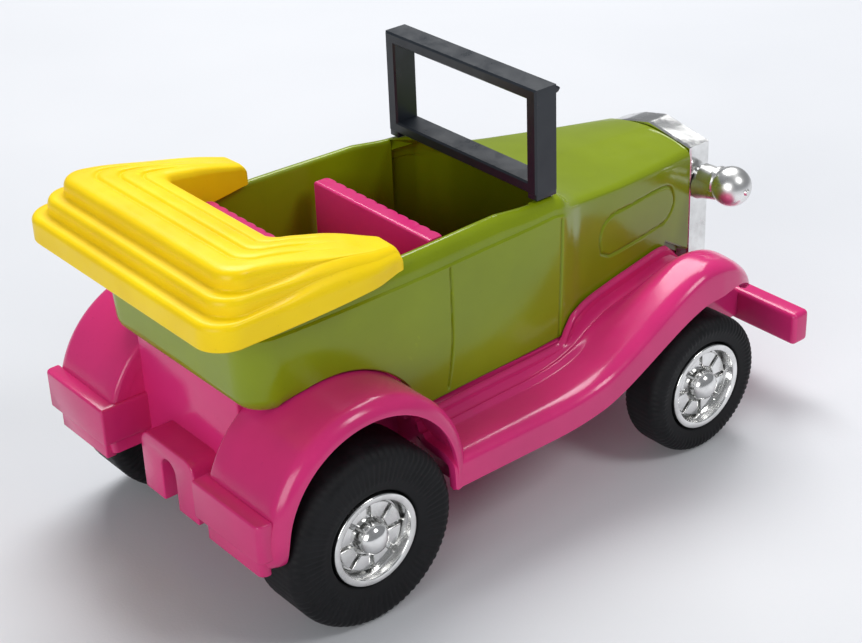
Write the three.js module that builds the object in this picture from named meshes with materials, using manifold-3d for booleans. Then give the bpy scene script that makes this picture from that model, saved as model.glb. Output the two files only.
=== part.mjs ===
// A toy hot rod: an open four-seat roadster with a folded top, sweeping fenders and rolling wheels.
// All sizes are in millimetres. +X points forward, +Y to the car's left and +Z up.
// Inside the car group x = 0 is the rear axle and z = 0 the ground. The group is then moved so that
// the part's origin lies on the ground, half way between the rear of the top and the front bumper.
import * as THREE from "three";
import { mergeVertices } from "three/addons/utils/BufferGeometryUtils.js";
import Module from "manifold-3d";

const wasm = await Module();
wasm.setup();

// Wheels and axles
const WHEELBASE = 84.7;
const TRACK = 74.8; // over the outer faces of the tyres
const REAR_TYRE_R = 18;
const REAR_TYRE_W = 14;
const FRONT_TYRE_R = 14.8;
const FRONT_TYRE_W = 10;
const TYRE_SHOULDER = 2.4;
const INSERT_R = 9.2; // bright wheel insert inside the tyre
const INSERT_LIP = 1.4;
const DISH_DEPTH = 3.2;
const HUB_R = 3.1;
const HUB_DOME = 2.2;
const PADS = 8; // wedge pads on the floor of the dish
const PAD_HEIGHT = 1.5;
const PAD_GAP = 0.7;
const AXLE_R = 1.5;
const AXLE_GRIP = 4.5; // from the tyre's outer face to the end of the insert's blind bore

// Gap between pieces that touch, and the mouldings' wall
const FIT = 0.3;
const WALL = 1.8;

// Rear fenders
const ARCH_AHEAD = 0.5; // arch centre ahead of the rear axle
const ARCH_RISE = 5.5; // arch centre above the rear axle
const LIP_CLEAR = 0.7; // arch lip outside the tyre's radius
const LIP_WIDTH = 3.3; // rolled edge of the arch
const FENDER_INSET = 0.2; // fender edge inside the tyre's outer face
const FENDER_BOX = 21.2; // width of a rear fender, from its outer edge to its inner wall
const SKIRT_OVER_AXLE = 0.5;

// Running boards and front fenders
const FLOOR_Z = 30.3;
const BOARD_Z = 26.9;
const BOARD_SKIRT = 6.6;
const CROWN_OVER_TYRE = 12;
const NOSE_AHEAD = 20.8; // fender nose ahead of the front axle
const APRON_Z = 36; // top of the fender's inner edge beside the hood
const VALLEY_W = 2.8; // from that edge to the groove at the foot of the fender
const VALLEY_Z = 31.8;
const PAD_L = 30; // raised panel under the floor, midway between the axles
const PAD_W = 26;
const PAD_DROP = 0.8;

// Rear pan, bumper blocks and hitch
const PAN_SETBACK = 13.2; // rear pan behind the rear axle
const BLOCK_REACH = 1.9; // bumper blocks behind the rear fenders
const BLOCK_TOP = 10.7; // above the fender's lower edge
const BLOCK_FOOT = 2.3; // step under the block
const BLOCK_GAP = 30.6; // between the two blocks
const HITCH_W = 18;
const HITCH_H = 13;
const HITCH_DEPTH = 6;
const HITCH_DROP = 1.8; // hitch top below the floor
const HITCH_SLOT = 4.6;
const HITCH_SLOT_H = 9.9;

// Front bumper
const BUMPER_AHEAD = 32.5; // front face ahead of the front axle
const BUMPER_W = 72;
const BUMPER_H = 7.4;
const BUMPER_T = 4.7;
const BUMPER_Z = 12.6;
const BUMPER_ROUND = 1.2;
const BUMPER_ARM_W = 5;
const BUMPER_ARM_Y = 17.5;

// Body
const BODY_OVERHANG = 15.5; // rear panel behind the rear axle
const BODY_HALF_W = 25.4;
const COWL_BEHIND = 26.7; // front door line behind the front axle
const COWL_HALF_W = 23.4;
const HOOD_AHEAD = 19.6; // hood's front end ahead of the front axle
const HOOD_HALF_W = 12.5; // at its front end
const CORNER_R = 7; // rear corners, seen from above
const BELT_Z = 58;
const RIM_Z = 62.2;
const RIM_W = 3.6; // from the body's side to the cockpit
const COWL_Z = 61.1;
const HOOD_Z = 54.6; // hood top at its front end
const HOOD_SIDE_Z = 50.8; // hood shoulder at its front end
const DASH_BEHIND = 6.5; // rear edge of the cowl behind the front door line
const SCREW_R = 1;
const SCREW_HEAD_R = 2.1;
const SCREW_HEAD_H = 1.2;
const SCREW_L = 7;
const BOSS_R = 2.9;
const BOSS_BEHIND = 12.7; // hood bosses behind the front axle
const BOSS_Y = 11;
const REAR_BOSS_Y = 9;
const REAR_BOSS_SETBACK = 8.5;
const SHELF_L = 10.2; // shelf behind the rear seat
const SHELF_DROP = 2.1; // shelf below the top of the rear fenders

// Windshield frame
const FRAME_HALF_W = 22;
const FRAME_T = 5.5;
const FRAME_H = 22.2;
const POST_W = 2.7;
const TOP_BAR = 2.3;
const BOTTOM_BAR = 2.3;
const BOTTOM_BAR_RAISE = 1.1;
const PEG = 1.8;
const PEG_L = 3.5;

// Radiator shell and headlights
const GRILLE_T = 6;
const GRILLE_HALF_W = 12.2;
const GRILLE_BOTTOM = 26.4;
const GRILLE_SIDE_Z = 53.3;
const GRILLE_PEAK_Z = 55.6;
const GRILLE_FRAME = 1.6;
const GRILLE_RECESS = 1.4;
const GRILLE_BARS = 9;
const GRILLE_PEG_R = 1.2;
const GRILLE_PEG_Y = 6;
const GRILLE_PEG_Z = 44;
const LAMP_R = 4.2;
const LAMP_Y = 21.1;
const LAMP_Z = 46.6;
const LAMP_STUB_R = 2.5;
const LAMP_PEG_R = 1.3;
const LAMP_PEG_L = 2.5;

// Seats
const SEAT_BEHIND = 21.5; // back of the front seat behind the edge of the cowl
const SEAT_HALF_W = 17.5;
const SEAT_TOP = 59.7;
const SEAT_BACK_T = 3.2;
const SEAT_L = 15;
const CUSHION_Z = 43;
const REAR_SEAT_X = 2.4; // back of the rear seat ahead of the rear axle
const REAR_SEAT_TOP = 64.2;
const REAR_SEAT_L = 16;
const REAR_CUSHION_Z = 45;
const SEAT_ROLLS = 11;

// Folded top
const TOP_OVERHANG = 25.6; // rear of the top behind the rear axle
const TOP_REAR_HALF_W = 31.3;
const TOP_ARM_HALF_W = 27.8;
const TOP_ARM_W = 7.6;
const TOP_ARM_REACH = 16.6; // ends of the arms ahead of the rear axle
const TOP_INNER_X = 3; // inner edge behind the rear axle
const TOP_INNER_HALF_W = 17;
const TOP_H = 11.6;
const TOP_ARM_H = 4.2;
const TOP_LEVEL_X = 12; // the top is at full height behind this, behind the rear axle
const TOP_CORNER_R = 5.5;
const TOP_RIB_H = 3;
const TOP_RIB_T = 1.4;

// Axle lugs and keepers
const LUG_Y = 11.5;
const LUG_W = 5;
const LUG_L = 14;
const KEEPER_T = 2;
const KEEPER_SCREW_AHEAD = 4.6;

// Places that follow from the sizes above
const wheelY = TRACK / 2;
const fenderY = wheelY - FENDER_INSET;
const lipR = REAR_TYRE_R + LIP_CLEAR;
const archR = lipR + LIP_WIDTH;
const archZ = REAR_TYRE_R + ARCH_RISE;
const archInnerY = fenderY - FENDER_BOX;
const skirtZ = REAR_TYRE_R + AXLE_R + SKIRT_OVER_AXLE;
const crownZ = 2 * FRONT_TYRE_R + CROWN_OVER_TYRE;
const boardRearX = ARCH_AHEAD + lipR;
const noseX = WHEELBASE + NOSE_AHEAD;
const cowlX = WHEELBASE - COWL_BEHIND;
const hoodX = WHEELBASE + HOOD_AHEAD;
const dashX = cowlX - DASH_BEHIND;
const rockerZ = FLOOR_Z + FIT;
const shelfZ = archZ + archR - SHELF_DROP - FIT;
const bumperX = WHEELBASE + BUMPER_AHEAD;
const grilleX = hoodX + FIT;
const frameZ = COWL_Z + FIT + 0.1;
const topZ = RIM_Z + FIT;
const below = -10; // lower than anything on the car
const above = 120; // higher than anything on the car

// Straight or smooth line through [x, value] pairs, as a function of x.
function bent(points) {
  const curve = new THREE.LinearInterpolant(points.map((p) => p[0]), points.map((p) => p[1]), 1, [0]);
  return (x) => curve.evaluate(x)[0];
}

function smooth(points) {
  const curve = new THREE.CubicInterpolant(points.map((p) => p[0]), points.map((p) => p[1]), 1, [0]);
  return (x) => curve.evaluate(x)[0];
}

// Steps from a to b, both included.
function steps(a, b, count) {
  return Array.from({ length: count + 1 }, (_, i) => a + ((b - a) * i) / count);
}

// Solid of a closed geometry, for joining and cutting.
function solid(geometry) {
  const bare = geometry.clone();
  bare.deleteAttribute("normal");
  bare.deleteAttribute("uv");
  const merged = mergeVertices(bare, 1e-4);
  const mesh = new wasm.Mesh({
    numProp: 3,
    vertProperties: new Float32Array(merged.attributes.position.array),
    triVerts: new Uint32Array(merged.index.array),
  });
  return new wasm.Manifold(mesh);
}

function geometryOf(manifold) {
  const mesh = manifold.getMesh();
  const geometry = new THREE.BufferGeometry();
  geometry.setAttribute("position", new THREE.BufferAttribute(mesh.vertProperties, 3));
  geometry.setIndex(new THREE.BufferAttribute(mesh.triVerts, 1));
  geometry.computeVertexNormals();
  return geometry;
}

function join(...solids) {
  return solids.reduce((whole, next) => whole.add(next));
}

// Closed body through rings of points. Each ring runs anticlockwise seen against the way the rings
// follow each other, and flat(p) gives a point's place in its ring's plane for the end faces.
function loft(rings, flat) {
  const count = rings[0].length;
  const index = [];
  for (let i = 0; i + 1 < rings.length; i++) {
    for (let j = 0; j < count; j++) {
      const a = i * count + j;
      const b = i * count + ((j + 1) % count);
      index.push(a, b, a + count, b, b + count, a + count);
    }
  }
  const last = (rings.length - 1) * count;
  for (const [p, q, r] of THREE.ShapeUtils.triangulateShape(rings[0].map(flat), [])) {
    index.push(p, r, q);
  }
  for (const [p, q, r] of THREE.ShapeUtils.triangulateShape(rings.at(-1).map(flat), [])) {
    index.push(last + p, last + q, last + r);
  }
  const geometry = new THREE.BufferGeometry().setFromPoints(rings.flat());
  geometry.setIndex(index);
  return solid(geometry);
}

// Loft along X through sections of [y, z] points that run anticlockwise.
function loftX(stations, section) {
  const rings = stations.map((x) => section(x).map(([y, z]) => new THREE.Vector3(x, y, z)));
  return loft(rings, (p) => new THREE.Vector2(p.y, p.z));
}

// Half a section from its foot on the right to the middle of the top, closed on the left side.
function mirrored(half) {
  const left = half.filter(([y]) => y > 1e-6).map(([y, z]) => [-y, z]);
  return [...half, ...left.reverse()];
}

function box(x0, x1, y0, y1, z0, z1) {
  const shape = new THREE.BoxGeometry(x1 - x0, y1 - y0, z1 - z0);
  return solid(shape.translate((x0 + x1) / 2, (y0 + y1) / 2, (z0 + z1) / 2));
}

// The same box on the left and on the right side.
function boxPair(x0, x1, y0, y1, z0, z1) {
  return box(x0, x1, y0, y1, z0, z1).add(box(x0, x1, -y1, -y0, z0, z1));
}

// Outline of [x, z] points pushed along Y from y0 to y1.
function plateY(outline, y0, y1) {
  const shape = new THREE.Shape(outline.map(([x, z]) => new THREE.Vector2(x, z)));
  const plate = new THREE.ExtrudeGeometry(shape, { depth: y1 - y0, bevelEnabled: false });
  return solid(plate.rotateX(Math.PI / 2).translate(0, y1, 0));
}

// Outline of [x, y] points raised along Z from z0 to z1.
function plateZ(outline, z0, z1) {
  const shape = new THREE.Shape(outline.map(([x, y]) => new THREE.Vector2(x, y)));
  const plate = new THREE.ExtrudeGeometry(shape, { depth: z1 - z0, bevelEnabled: false });
  return solid(plate.translate(0, 0, z0));
}

function rodY(r, y0, y1, x, z, sides = 24) {
  const rod = new THREE.CylinderGeometry(r, r, y1 - y0, sides);
  return solid(rod.translate(x, (y0 + y1) / 2, z));
}

function rodZ(r, z0, z1, x, y, sides = 20) {
  const rod = new THREE.CylinderGeometry(r, r, z1 - z0, sides);
  return solid(rod.rotateX(Math.PI / 2).translate(x, y, (z0 + z1) / 2));
}

function rodX(r, x0, x1, y, z, sides = 16) {
  const rod = new THREE.CylinderGeometry(r, r, x1 - x0, sides);
  return solid(rod.rotateZ(Math.PI / 2).translate((x0 + x1) / 2, y, z));
}

// Points of a quarter round, or any arc, round a centre.
function arc(cx, cy, r, from, to, count) {
  return steps(from, to, count).map((a) => [cx + r * Math.cos(a), cy + r * Math.sin(a)]);
}

// Body turned about the Y axis from a profile of [radius, y] points.
function turned(profile, sides) {
  return solid(new THREE.LatheGeometry(profile.map(([r, y]) => new THREE.Vector2(r, y)), sides));
}

// Body lines, seen from above and from the side
const sideLine = smooth([
  [-BODY_OVERHANG, BODY_HALF_W - 0.6],
  [0, BODY_HALF_W],
  [cowlX * 0.3, BODY_HALF_W],
  [cowlX * 0.6, (2 * BODY_HALF_W + COWL_HALF_W) / 3],
  [cowlX, COWL_HALF_W],
  [cowlX + 3.5, COWL_HALF_W - 1.3],
  [cowlX + 8, COWL_HALF_W - 3.3],
  [hoodX, HOOD_HALF_W],
]);
const shoulderLine = smooth([
  [cowlX - 2, BELT_Z],
  [cowlX + 8, (2 * BELT_Z + HOOD_SIDE_Z) / 3],
  [hoodX, HOOD_SIDE_Z],
]);
const edgeLine = smooth([
  [dashX - 8, RIM_Z],
  [cowlX - FRAME_T - 0.5, COWL_Z],
  [cowlX, COWL_Z],
  [cowlX + 4, (3 * COWL_Z + 2 * HOOD_Z) / 5],
  [cowlX + 8, (2 * COWL_Z + 3 * HOOD_Z) / 5],
  [hoodX, (HOOD_Z + HOOD_SIDE_Z) / 2 + 0.5],
]);
const crownLine = smooth([
  [dashX - 8, RIM_Z],
  [cowlX - FRAME_T - 0.5, COWL_Z],
  [cowlX, COWL_Z],
  [cowlX + 4, (2 * COWL_Z + HOOD_Z) / 3],
  [cowlX + 12, (2 * HOOD_Z + COWL_Z) / 3],
  [cowlX + 22, (4 * HOOD_Z + COWL_Z) / 5],
  [hoodX, HOOD_Z],
]);

// Half width of the body at its belt, with rounded rear corners.
function bodyHalf(x) {
  const ahead = Math.min(Math.max(x + BODY_OVERHANG, 0), CORNER_R);
  const corner = CORNER_R - Math.sqrt(CORNER_R ** 2 - (CORNER_R - ahead) ** 2);
  return sideLine(x) - corner;
}

// Half width at the body's foot: the tub tucks in a little, the hood's sides are upright.
function footHalf(x) {
  return bodyHalf(x) - THREE.MathUtils.clamp(cowlX + 8 - x, 0, 10) / 10;
}

function bodySection(x, inset) {
  const w = bodyHalf(x) - inset;
  const belt = shoulderLine(x) - inset;
  const edge = edgeLine(x) - inset;
  const foot = inset > 0 ? below : rockerZ;
  return mirrored([
    [footHalf(x) - inset, foot],
    [footHalf(x) - inset, inset > 0 ? rockerZ : rockerZ + 1],
    [w, (rockerZ + belt) / 2],
    [w, belt - 0.4],
    [w - 0.4, belt + 0.1],
    [w - 0.9, belt + 0.5 * (edge - belt)],
    [w - 1.5, belt + 0.85 * (edge - belt)],
    [w - 2.4, edge],
    [0.5 * (w - 2.4), edge + 0.75 * (crownLine(x) - inset - edge)],
    [0, crownLine(x) - inset],
  ]);
}

function cockpitSection(x) {
  const w = bodyHalf(x) - RIM_W;
  return [[w, below], [w, above], [-w, above], [-w, below]];
}

function makeBody() {
  const rear = -BODY_OVERHANG;
  const rounded = steps(0, 1, 4).map((t) => rear + CORNER_R * (1 - Math.cos((t * Math.PI) / 2)));
  const stations = [...rounded, 0, 14, 28, dashX - 8, dashX, cowlX - 2, cowlX, cowlX + 2, cowlX + 4];
  stations.push(cowlX + 6, cowlX + 8, cowlX + 14, cowlX + 22, (cowlX + hoodX) / 2 + 8, hoodX);
  const shell = loftX(stations, (x) => bodySection(x, 0));
  const inner = rear + WALL + FIT;
  const tub = [inner, ...rounded.map((x) => x + WALL + FIT).slice(1), 0, 14, 28, dashX - 8, dashX];
  const cockpit = loftX(tub, cockpitSection);
  const bay = [dashX - FIT, cowlX - 2, cowlX, cowlX + 2, cowlX + 4, cowlX + 6, cowlX + 8];
  bay.push(cowlX + 14, cowlX + 22, (cowlX + hoodX) / 2 + 8, hoodX - WALL);
  const hollow = loftX(bay, (x) => bodySection(x, WALL));
  const arch = rodY(archR + FIT, -wheelY, wheelY, ARCH_AHEAD, archZ, 40);
  const underRear = box(rear - 5, ARCH_AHEAD, -wheelY, wheelY, below, shelfZ + FIT);
  const bossX = WHEELBASE - BOSS_BEHIND;
  const boss = rodZ(BOSS_R, rockerZ, edgeLine(bossX) - WALL / 2, bossX, BOSS_Y);
  const socketX = cowlX - FRAME_T / 2;
  const socketY = FRAME_HALF_W - POST_W;
  const socket = boxPair(
    dashX + FIT, socketX + PEG, socketY - PEG, socketY + PEG, frameZ - PEG_L - 2, COWL_Z - WALL / 2,
  );
  const rearBlock = boxPair(
    rear + WALL / 2, -REAR_BOSS_SETBACK + BOSS_R, REAR_BOSS_Y - BOSS_R, REAR_BOSS_Y + BOSS_R,
    shelfZ + FIT, shelfZ + SCREW_L + 1,
  );
  let body = shell.subtract(cockpit).subtract(hollow).subtract(arch).subtract(underRear);
  body = join(body, boss, boss.mirror([0, 1, 0]), socket, rearBlock);
  const holeR = SCREW_R + FIT;
  for (const side of [-1, 1]) {
    const hoodHole = rodZ(holeR, rockerZ - 1, rockerZ + SCREW_L, bossX, side * BOSS_Y, 12);
    const rearHole = rodZ(holeR, shelfZ - 1, shelfZ + SCREW_L - 1, -REAR_BOSS_SETBACK, side * REAR_BOSS_Y, 12);
    const peg = PEG / 2 + FIT;
    const pegHole = box(
      socketX - peg, socketX + peg, side * socketY - peg, side * socketY + peg, frameZ - PEG_L - FIT, above,
    );
    const nose = rodX(GRILLE_PEG_R + FIT, hoodX - WALL - 1, hoodX + 1, side * GRILLE_PEG_Y, GRILLE_PEG_Z, 12);
    body = body.subtract(hoodHole).subtract(rearHole).subtract(pegHole).subtract(nose);
  }
  return body;
}

// Fender lines along the car: top of the fender, its inner edge, groove and outer edge
const rise = crownZ - BOARD_Z;
const fenderTop = smooth([
  [boardRearX - 4, BOARD_Z],
  [WHEELBASE - 40, BOARD_Z],
  [WHEELBASE - 33, BOARD_Z + 0.02 * rise],
  [WHEELBASE - 28, BOARD_Z + 0.09 * rise],
  [WHEELBASE - 21.7, BOARD_Z + 0.28 * rise],
  [WHEELBASE - 12.7, BOARD_Z + 0.62 * rise],
  [WHEELBASE - 4.7, BOARD_Z + 0.88 * rise],
  [WHEELBASE + 1.3, crownZ],
  [WHEELBASE + 7.3, BOARD_Z + 0.91 * rise],
  [WHEELBASE + 12.3, BOARD_Z + 0.7 * rise],
  [WHEELBASE + 17.3, BOARD_Z + 0.42 * rise],
  [noseX, BOARD_Z + 0.1 * rise],
]);
const apronTop = bent([
  [cowlX - 1, FLOOR_Z],
  [cowlX + 1, FLOOR_Z + 2.4],
  [cowlX + 4, APRON_Z - 1.3],
  [cowlX + 21, APRON_Z - 0.2],
  [hoodX - 10, APRON_Z - 0.4],
  [hoodX - 8, APRON_Z - 1.1],
  [hoodX - 1, FLOOR_Z],
  [noseX, FLOOR_Z - 2],
]);
const valley = smooth([
  [boardRearX - 4, BOARD_Z + 1],
  [WHEELBASE - 30, BOARD_Z + 1.2],
  [WHEELBASE - 20, VALLEY_Z - 1],
  [WHEELBASE - 4, VALLEY_Z],
  [WHEELBASE + 8, VALLEY_Z],
  [WHEELBASE + 14, VALLEY_Z - 1.5],
  [noseX, BOARD_Z],
]);
const noseInset = smooth([
  [WHEELBASE + 4, 0],
  [WHEELBASE + 9, 0.7],
  [WHEELBASE + 13, 2.2],
  [WHEELBASE + 17, 4.8],
  [noseX, 9.5],
]);
const skirtDepth = bent([
  [WHEELBASE - 30, BOARD_SKIRT],
  [WHEELBASE + 2, BOARD_SKIRT + 1],
  [WHEELBASE + 12, 4],
  [noseX, 2.4],
]);

// Section of floor, apron, fender and skirt on one side, from the middle outwards, as a top line.
function fenderSection(x) {
  const inner = footHalf(x) + FIT + 0.1;
  const outer = fenderY - noseInset(x);
  const top = fenderTop(x);
  const groove = Math.min(valley(x), top + 1.2);
  const crownY = outer - 7;
  const grooveY = Math.min(inner + VALLEY_W, crownY - 1);
  const skirt = top - skirtDepth(x);
  const upper = [
    [inner, FLOOR_Z],
    [inner, Math.max(apronTop(x), FLOOR_Z)],
    [inner + 1.2, Math.max(apronTop(x), FLOOR_Z) - 0.3],
    [grooveY, groove],
    [(grooveY + crownY) / 2, 0.35 * groove + 0.65 * top - 0.2],
    [crownY, top],
    [outer - 3, top - 0.25],
    [outer - 1, top - 0.9],
    [outer - 0.2, top - 2.1],
    [outer, skirt],
  ];
  const lower = [
    [outer - WALL, skirt],
    [outer - WALL - 0.2, top - 2.4],
    [outer - 3, top - 0.25 - WALL],
    [crownY, top - WALL],
    [grooveY, Math.min(groove - WALL, FLOOR_Z - WALL)],
  ];
  return { upper, lower };
}

function chassisSection(x) {
  const { upper, lower } = fenderSection(x);
  const foot = FLOOR_Z - WALL;
  const under = [[footHalf(x) - 1, foot], ...lower.reverse()];
  const half = [[0.01, foot], ...under, ...upper.reverse(), [0.01, FLOOR_Z]];
  return half;
}

function makeChassis() {
  const ahead = WHEELBASE;
  const stations = [boardRearX, boardRearX + 14, ahead - 40, ahead - 33, cowlX - 1, cowlX + 1, cowlX + 4];
  stations.push(ahead - 19, ahead - 15, ahead - 10, ahead - 5, ahead, ahead + 4, ahead + 7, hoodX - 10);
  stations.push(hoodX - 8, ahead + 14, hoodX - 3, hoodX - 1, noseX);
  const ordered = [...new Set(stations)].sort((a, b) => a - b);
  const leftBoard = loftX(ordered, chassisSection);
  const boards = leftBoard.add(leftBoard.mirror([0, 1, 0])).add(
    box(boardRearX, noseX, -1, 1, FLOOR_Z - WALL, FLOOR_Z),
  );
  const noseGap = box(hoodX - FIT, noseX + 1, -HOOD_HALF_W - 2, HOOD_HALF_W + 2, below, above);

  // Floor between the rear fenders, seat riser, shelf and rear pan
  const pan = -PAN_SETBACK;
  const half = archInnerY + WALL / 2;
  const riser = pan + SHELF_L;
  const rearFloor = join(
    box(pan, boardRearX + 2, -half, half, FLOOR_Z - WALL, FLOOR_Z),
    box(pan, pan + WALL, -half, half, skirtZ, shelfZ),
    box(pan, riser, -half, half, shelfZ - WALL, shelfZ),
    box(riser - WALL, riser, -half, half, FLOOR_Z - WALL, shelfZ),
  );

  // Rear fenders: a cup round the wheel with a rolled lip, cut off at the skirt
  const roll = arc(archR - LIP_WIDTH, fenderY - LIP_WIDTH, LIP_WIDTH, 0, Math.PI / 2, 4);
  const cupProfile = [
    [0, archInnerY],
    [archR, archInnerY],
    ...roll,
    [lipR, fenderY - WALL],
    [archR - WALL, fenderY - WALL - 1],
    [archR - WALL, archInnerY + WALL],
    [0, archInnerY + WALL],
  ];
  const ring = turned(cupProfile, 40).translate([ARCH_AHEAD, 0, archZ]);
  const under = box(
    ARCH_AHEAD - archR - 1, ARCH_AHEAD + archR + 1, -wheelY, wheelY, archZ - archR - 1, skirtZ,
  );
  const cups = ring.add(ring.mirror([0, 1, 0])).subtract(under);
  const well = rodY(archR - WALL, archInnerY + WALL, fenderY - WALL - 1, ARCH_AHEAD, archZ, 40);
  const mouth = rodY(lipR, fenderY - WALL - 1.5, wheelY + 5, ARCH_AHEAD, archZ, 40);
  const wells = join(well, mouth, well.mirror([0, 1, 0]), mouth.mirror([0, 1, 0]));

  // Bumper blocks on the backs of the fenders
  const blockRear = ARCH_AHEAD - archR - BLOCK_REACH;
  const blockTop = skirtZ + BLOCK_TOP;
  const blocks = join(
    boxPair(blockRear, pan - 2, BLOCK_GAP / 2, fenderY - 1, skirtZ + BLOCK_FOOT, blockTop),
    boxPair(blockRear + 0.9, pan - 2, BLOCK_GAP / 2 + 0.9, fenderY - 1.6, skirtZ, blockTop - 1),
    boxPair(blockRear + 2.5, pan + WALL, BLOCK_GAP / 2, archInnerY + 2, skirtZ, blockTop),
  );

  // Hitch block with an arched slot open below
  const hitchTop = FLOOR_Z - HITCH_DROP;
  const hitchFoot = hitchTop - HITCH_H;
  const slotR = HITCH_SLOT / 2;
  const slotTop = hitchFoot + HITCH_SLOT_H - slotR;
  const hitchOutline = [
    [-HITCH_W / 2, hitchFoot],
    [HITCH_W / 2, hitchFoot],
    ...arc(HITCH_W / 2 - 3, hitchTop - 3, 3, 0, Math.PI / 2, 3),
    ...arc(-HITCH_W / 2 + 3, hitchTop - 3, 3, Math.PI / 2, Math.PI, 3),
  ];
  const slotOutline = [
    [-slotR, hitchFoot - 1],
    [slotR, hitchFoot - 1],
    ...arc(0, slotTop, slotR, 0, Math.PI, 8),
  ];
  const alongX = (outline, x0, x1) =>
    plateY(outline, x0, x1).rotate([0, 0, -90]);
  const hitch = alongX(hitchOutline, pan - HITCH_DEPTH, pan + WALL);
  const slot = alongX(slotOutline, pan - HITCH_DEPTH - 1, pan + WALL + 1);

  // Axle lugs under the floor, open below for the axle
  const lugs = [];
  const bearings = [];
  for (const [x, z] of [[0, REAR_TYRE_R], [WHEELBASE, FRONT_TYRE_R]]) {
    lugs.push(boxPair(
      x - LUG_L / 2, x + LUG_L / 2, LUG_Y - LUG_W / 2, LUG_Y + LUG_W / 2, z - AXLE_R, FLOOR_Z - WALL / 2,
    ));
    const bearingR = AXLE_R + FIT;
    bearings.push(rodY(bearingR, -wheelY, wheelY, x, z, 20));
    bearings.push(box(x - bearingR, x + bearingR, -wheelY, wheelY, below, z));
    for (const side of [-1, 1]) {
      const top = z + SCREW_L - KEEPER_T;
      bearings.push(rodZ(SCREW_R + FIT, below, top, x + KEEPER_SCREW_AHEAD, side * LUG_Y, 12));
    }
  }

  // Raised flat panel under the floor
  const padX = WHEELBASE / 2;
  const panel = box(
    padX - PAD_L / 2, padX + PAD_L / 2, -PAD_W / 2, PAD_W / 2, FLOOR_Z - WALL - PAD_DROP, FLOOR_Z - WALL / 2,
  );

  // Front bumper bar on two arms
  const bumperFoot = BUMPER_Z;
  const bumperTop = BUMPER_Z + BUMPER_H;
  const q = Math.PI / 2;
  const r = BUMPER_ROUND;
  const barOutline = [
    ...arc(bumperX - r, bumperFoot + r, r, -q, 0, 3),
    ...arc(bumperX - r, bumperTop - r, r, 0, q, 3),
    ...arc(bumperX - BUMPER_T + r, bumperTop - r, r, q, 2 * q, 3),
    ...arc(bumperX - BUMPER_T + r, bumperFoot + r, r, 2 * q, 3 * q, 3),
  ];
  const bar = plateY(barOutline, -BUMPER_W / 2, BUMPER_W / 2);
  const armOutline = [
    [hoodX - 10, FLOOR_Z - WALL / 2],
    [hoodX - 10, FLOOR_Z - WALL - 4],
    [bumperX - BUMPER_T - 4, bumperFoot + 1.2],
    [bumperX - BUMPER_T + 1, bumperFoot + 1.2],
    [bumperX - BUMPER_T + 1, bumperTop - 1.2],
    [hoodX, FLOOR_Z - WALL],
    [hoodX - 1, FLOOR_Z - WALL / 2],
  ];
  const armY = BUMPER_ARM_Y - BUMPER_ARM_W / 2;
  const arm = plateY(armOutline, armY, armY + BUMPER_ARM_W);

  const holes = [];
  for (const side of [-1, 1]) {
    const hole = SCREW_R + FIT;
    holes.push(rodZ(hole, below, FLOOR_Z + 1, WHEELBASE - BOSS_BEHIND, side * BOSS_Y, 12));
    holes.push(rodZ(hole, below, shelfZ + 1, -REAR_BOSS_SETBACK, side * REAR_BOSS_Y, 12));
  }
  let chassis = join(boards.subtract(noseGap), rearFloor, blocks).subtract(wells);
  chassis = join(chassis, cups, hitch, panel, ...lugs, bar, arm, arm.mirror([0, 1, 0]));
  return [slot, ...bearings, ...holes].reduce((whole, cut) => whole.subtract(cut), chassis);
}

// Seat with rolls up the front of its back, on a plain cushion.
function makeSeat(x, halfW, baseHalfW, foot, step, cushion, top, length) {
  const rolls = [];
  const pitch = (2 * halfW) / SEAT_ROLLS;
  for (let i = 0; i < SEAT_ROLLS; i++) {
    const y = halfW - pitch * (i + 0.5);
    rolls.push(...arc(x + SEAT_BACK_T - 1, y, pitch / 2, Math.PI / 2, -Math.PI / 2, 4).slice(0, -1));
  }
  rolls.push([x + SEAT_BACK_T - 1, -halfW]);
  const outline = [[x, -halfW], [x, halfW], ...rolls].reverse();
  return join(
    plateZ(outline, step, top),
    box(x, x + SEAT_BACK_T, -baseHalfW, baseHalfW, foot, step + 1),
    box(x, x + length, -baseHalfW, baseHalfW, foot, cushion),
  );
}

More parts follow.
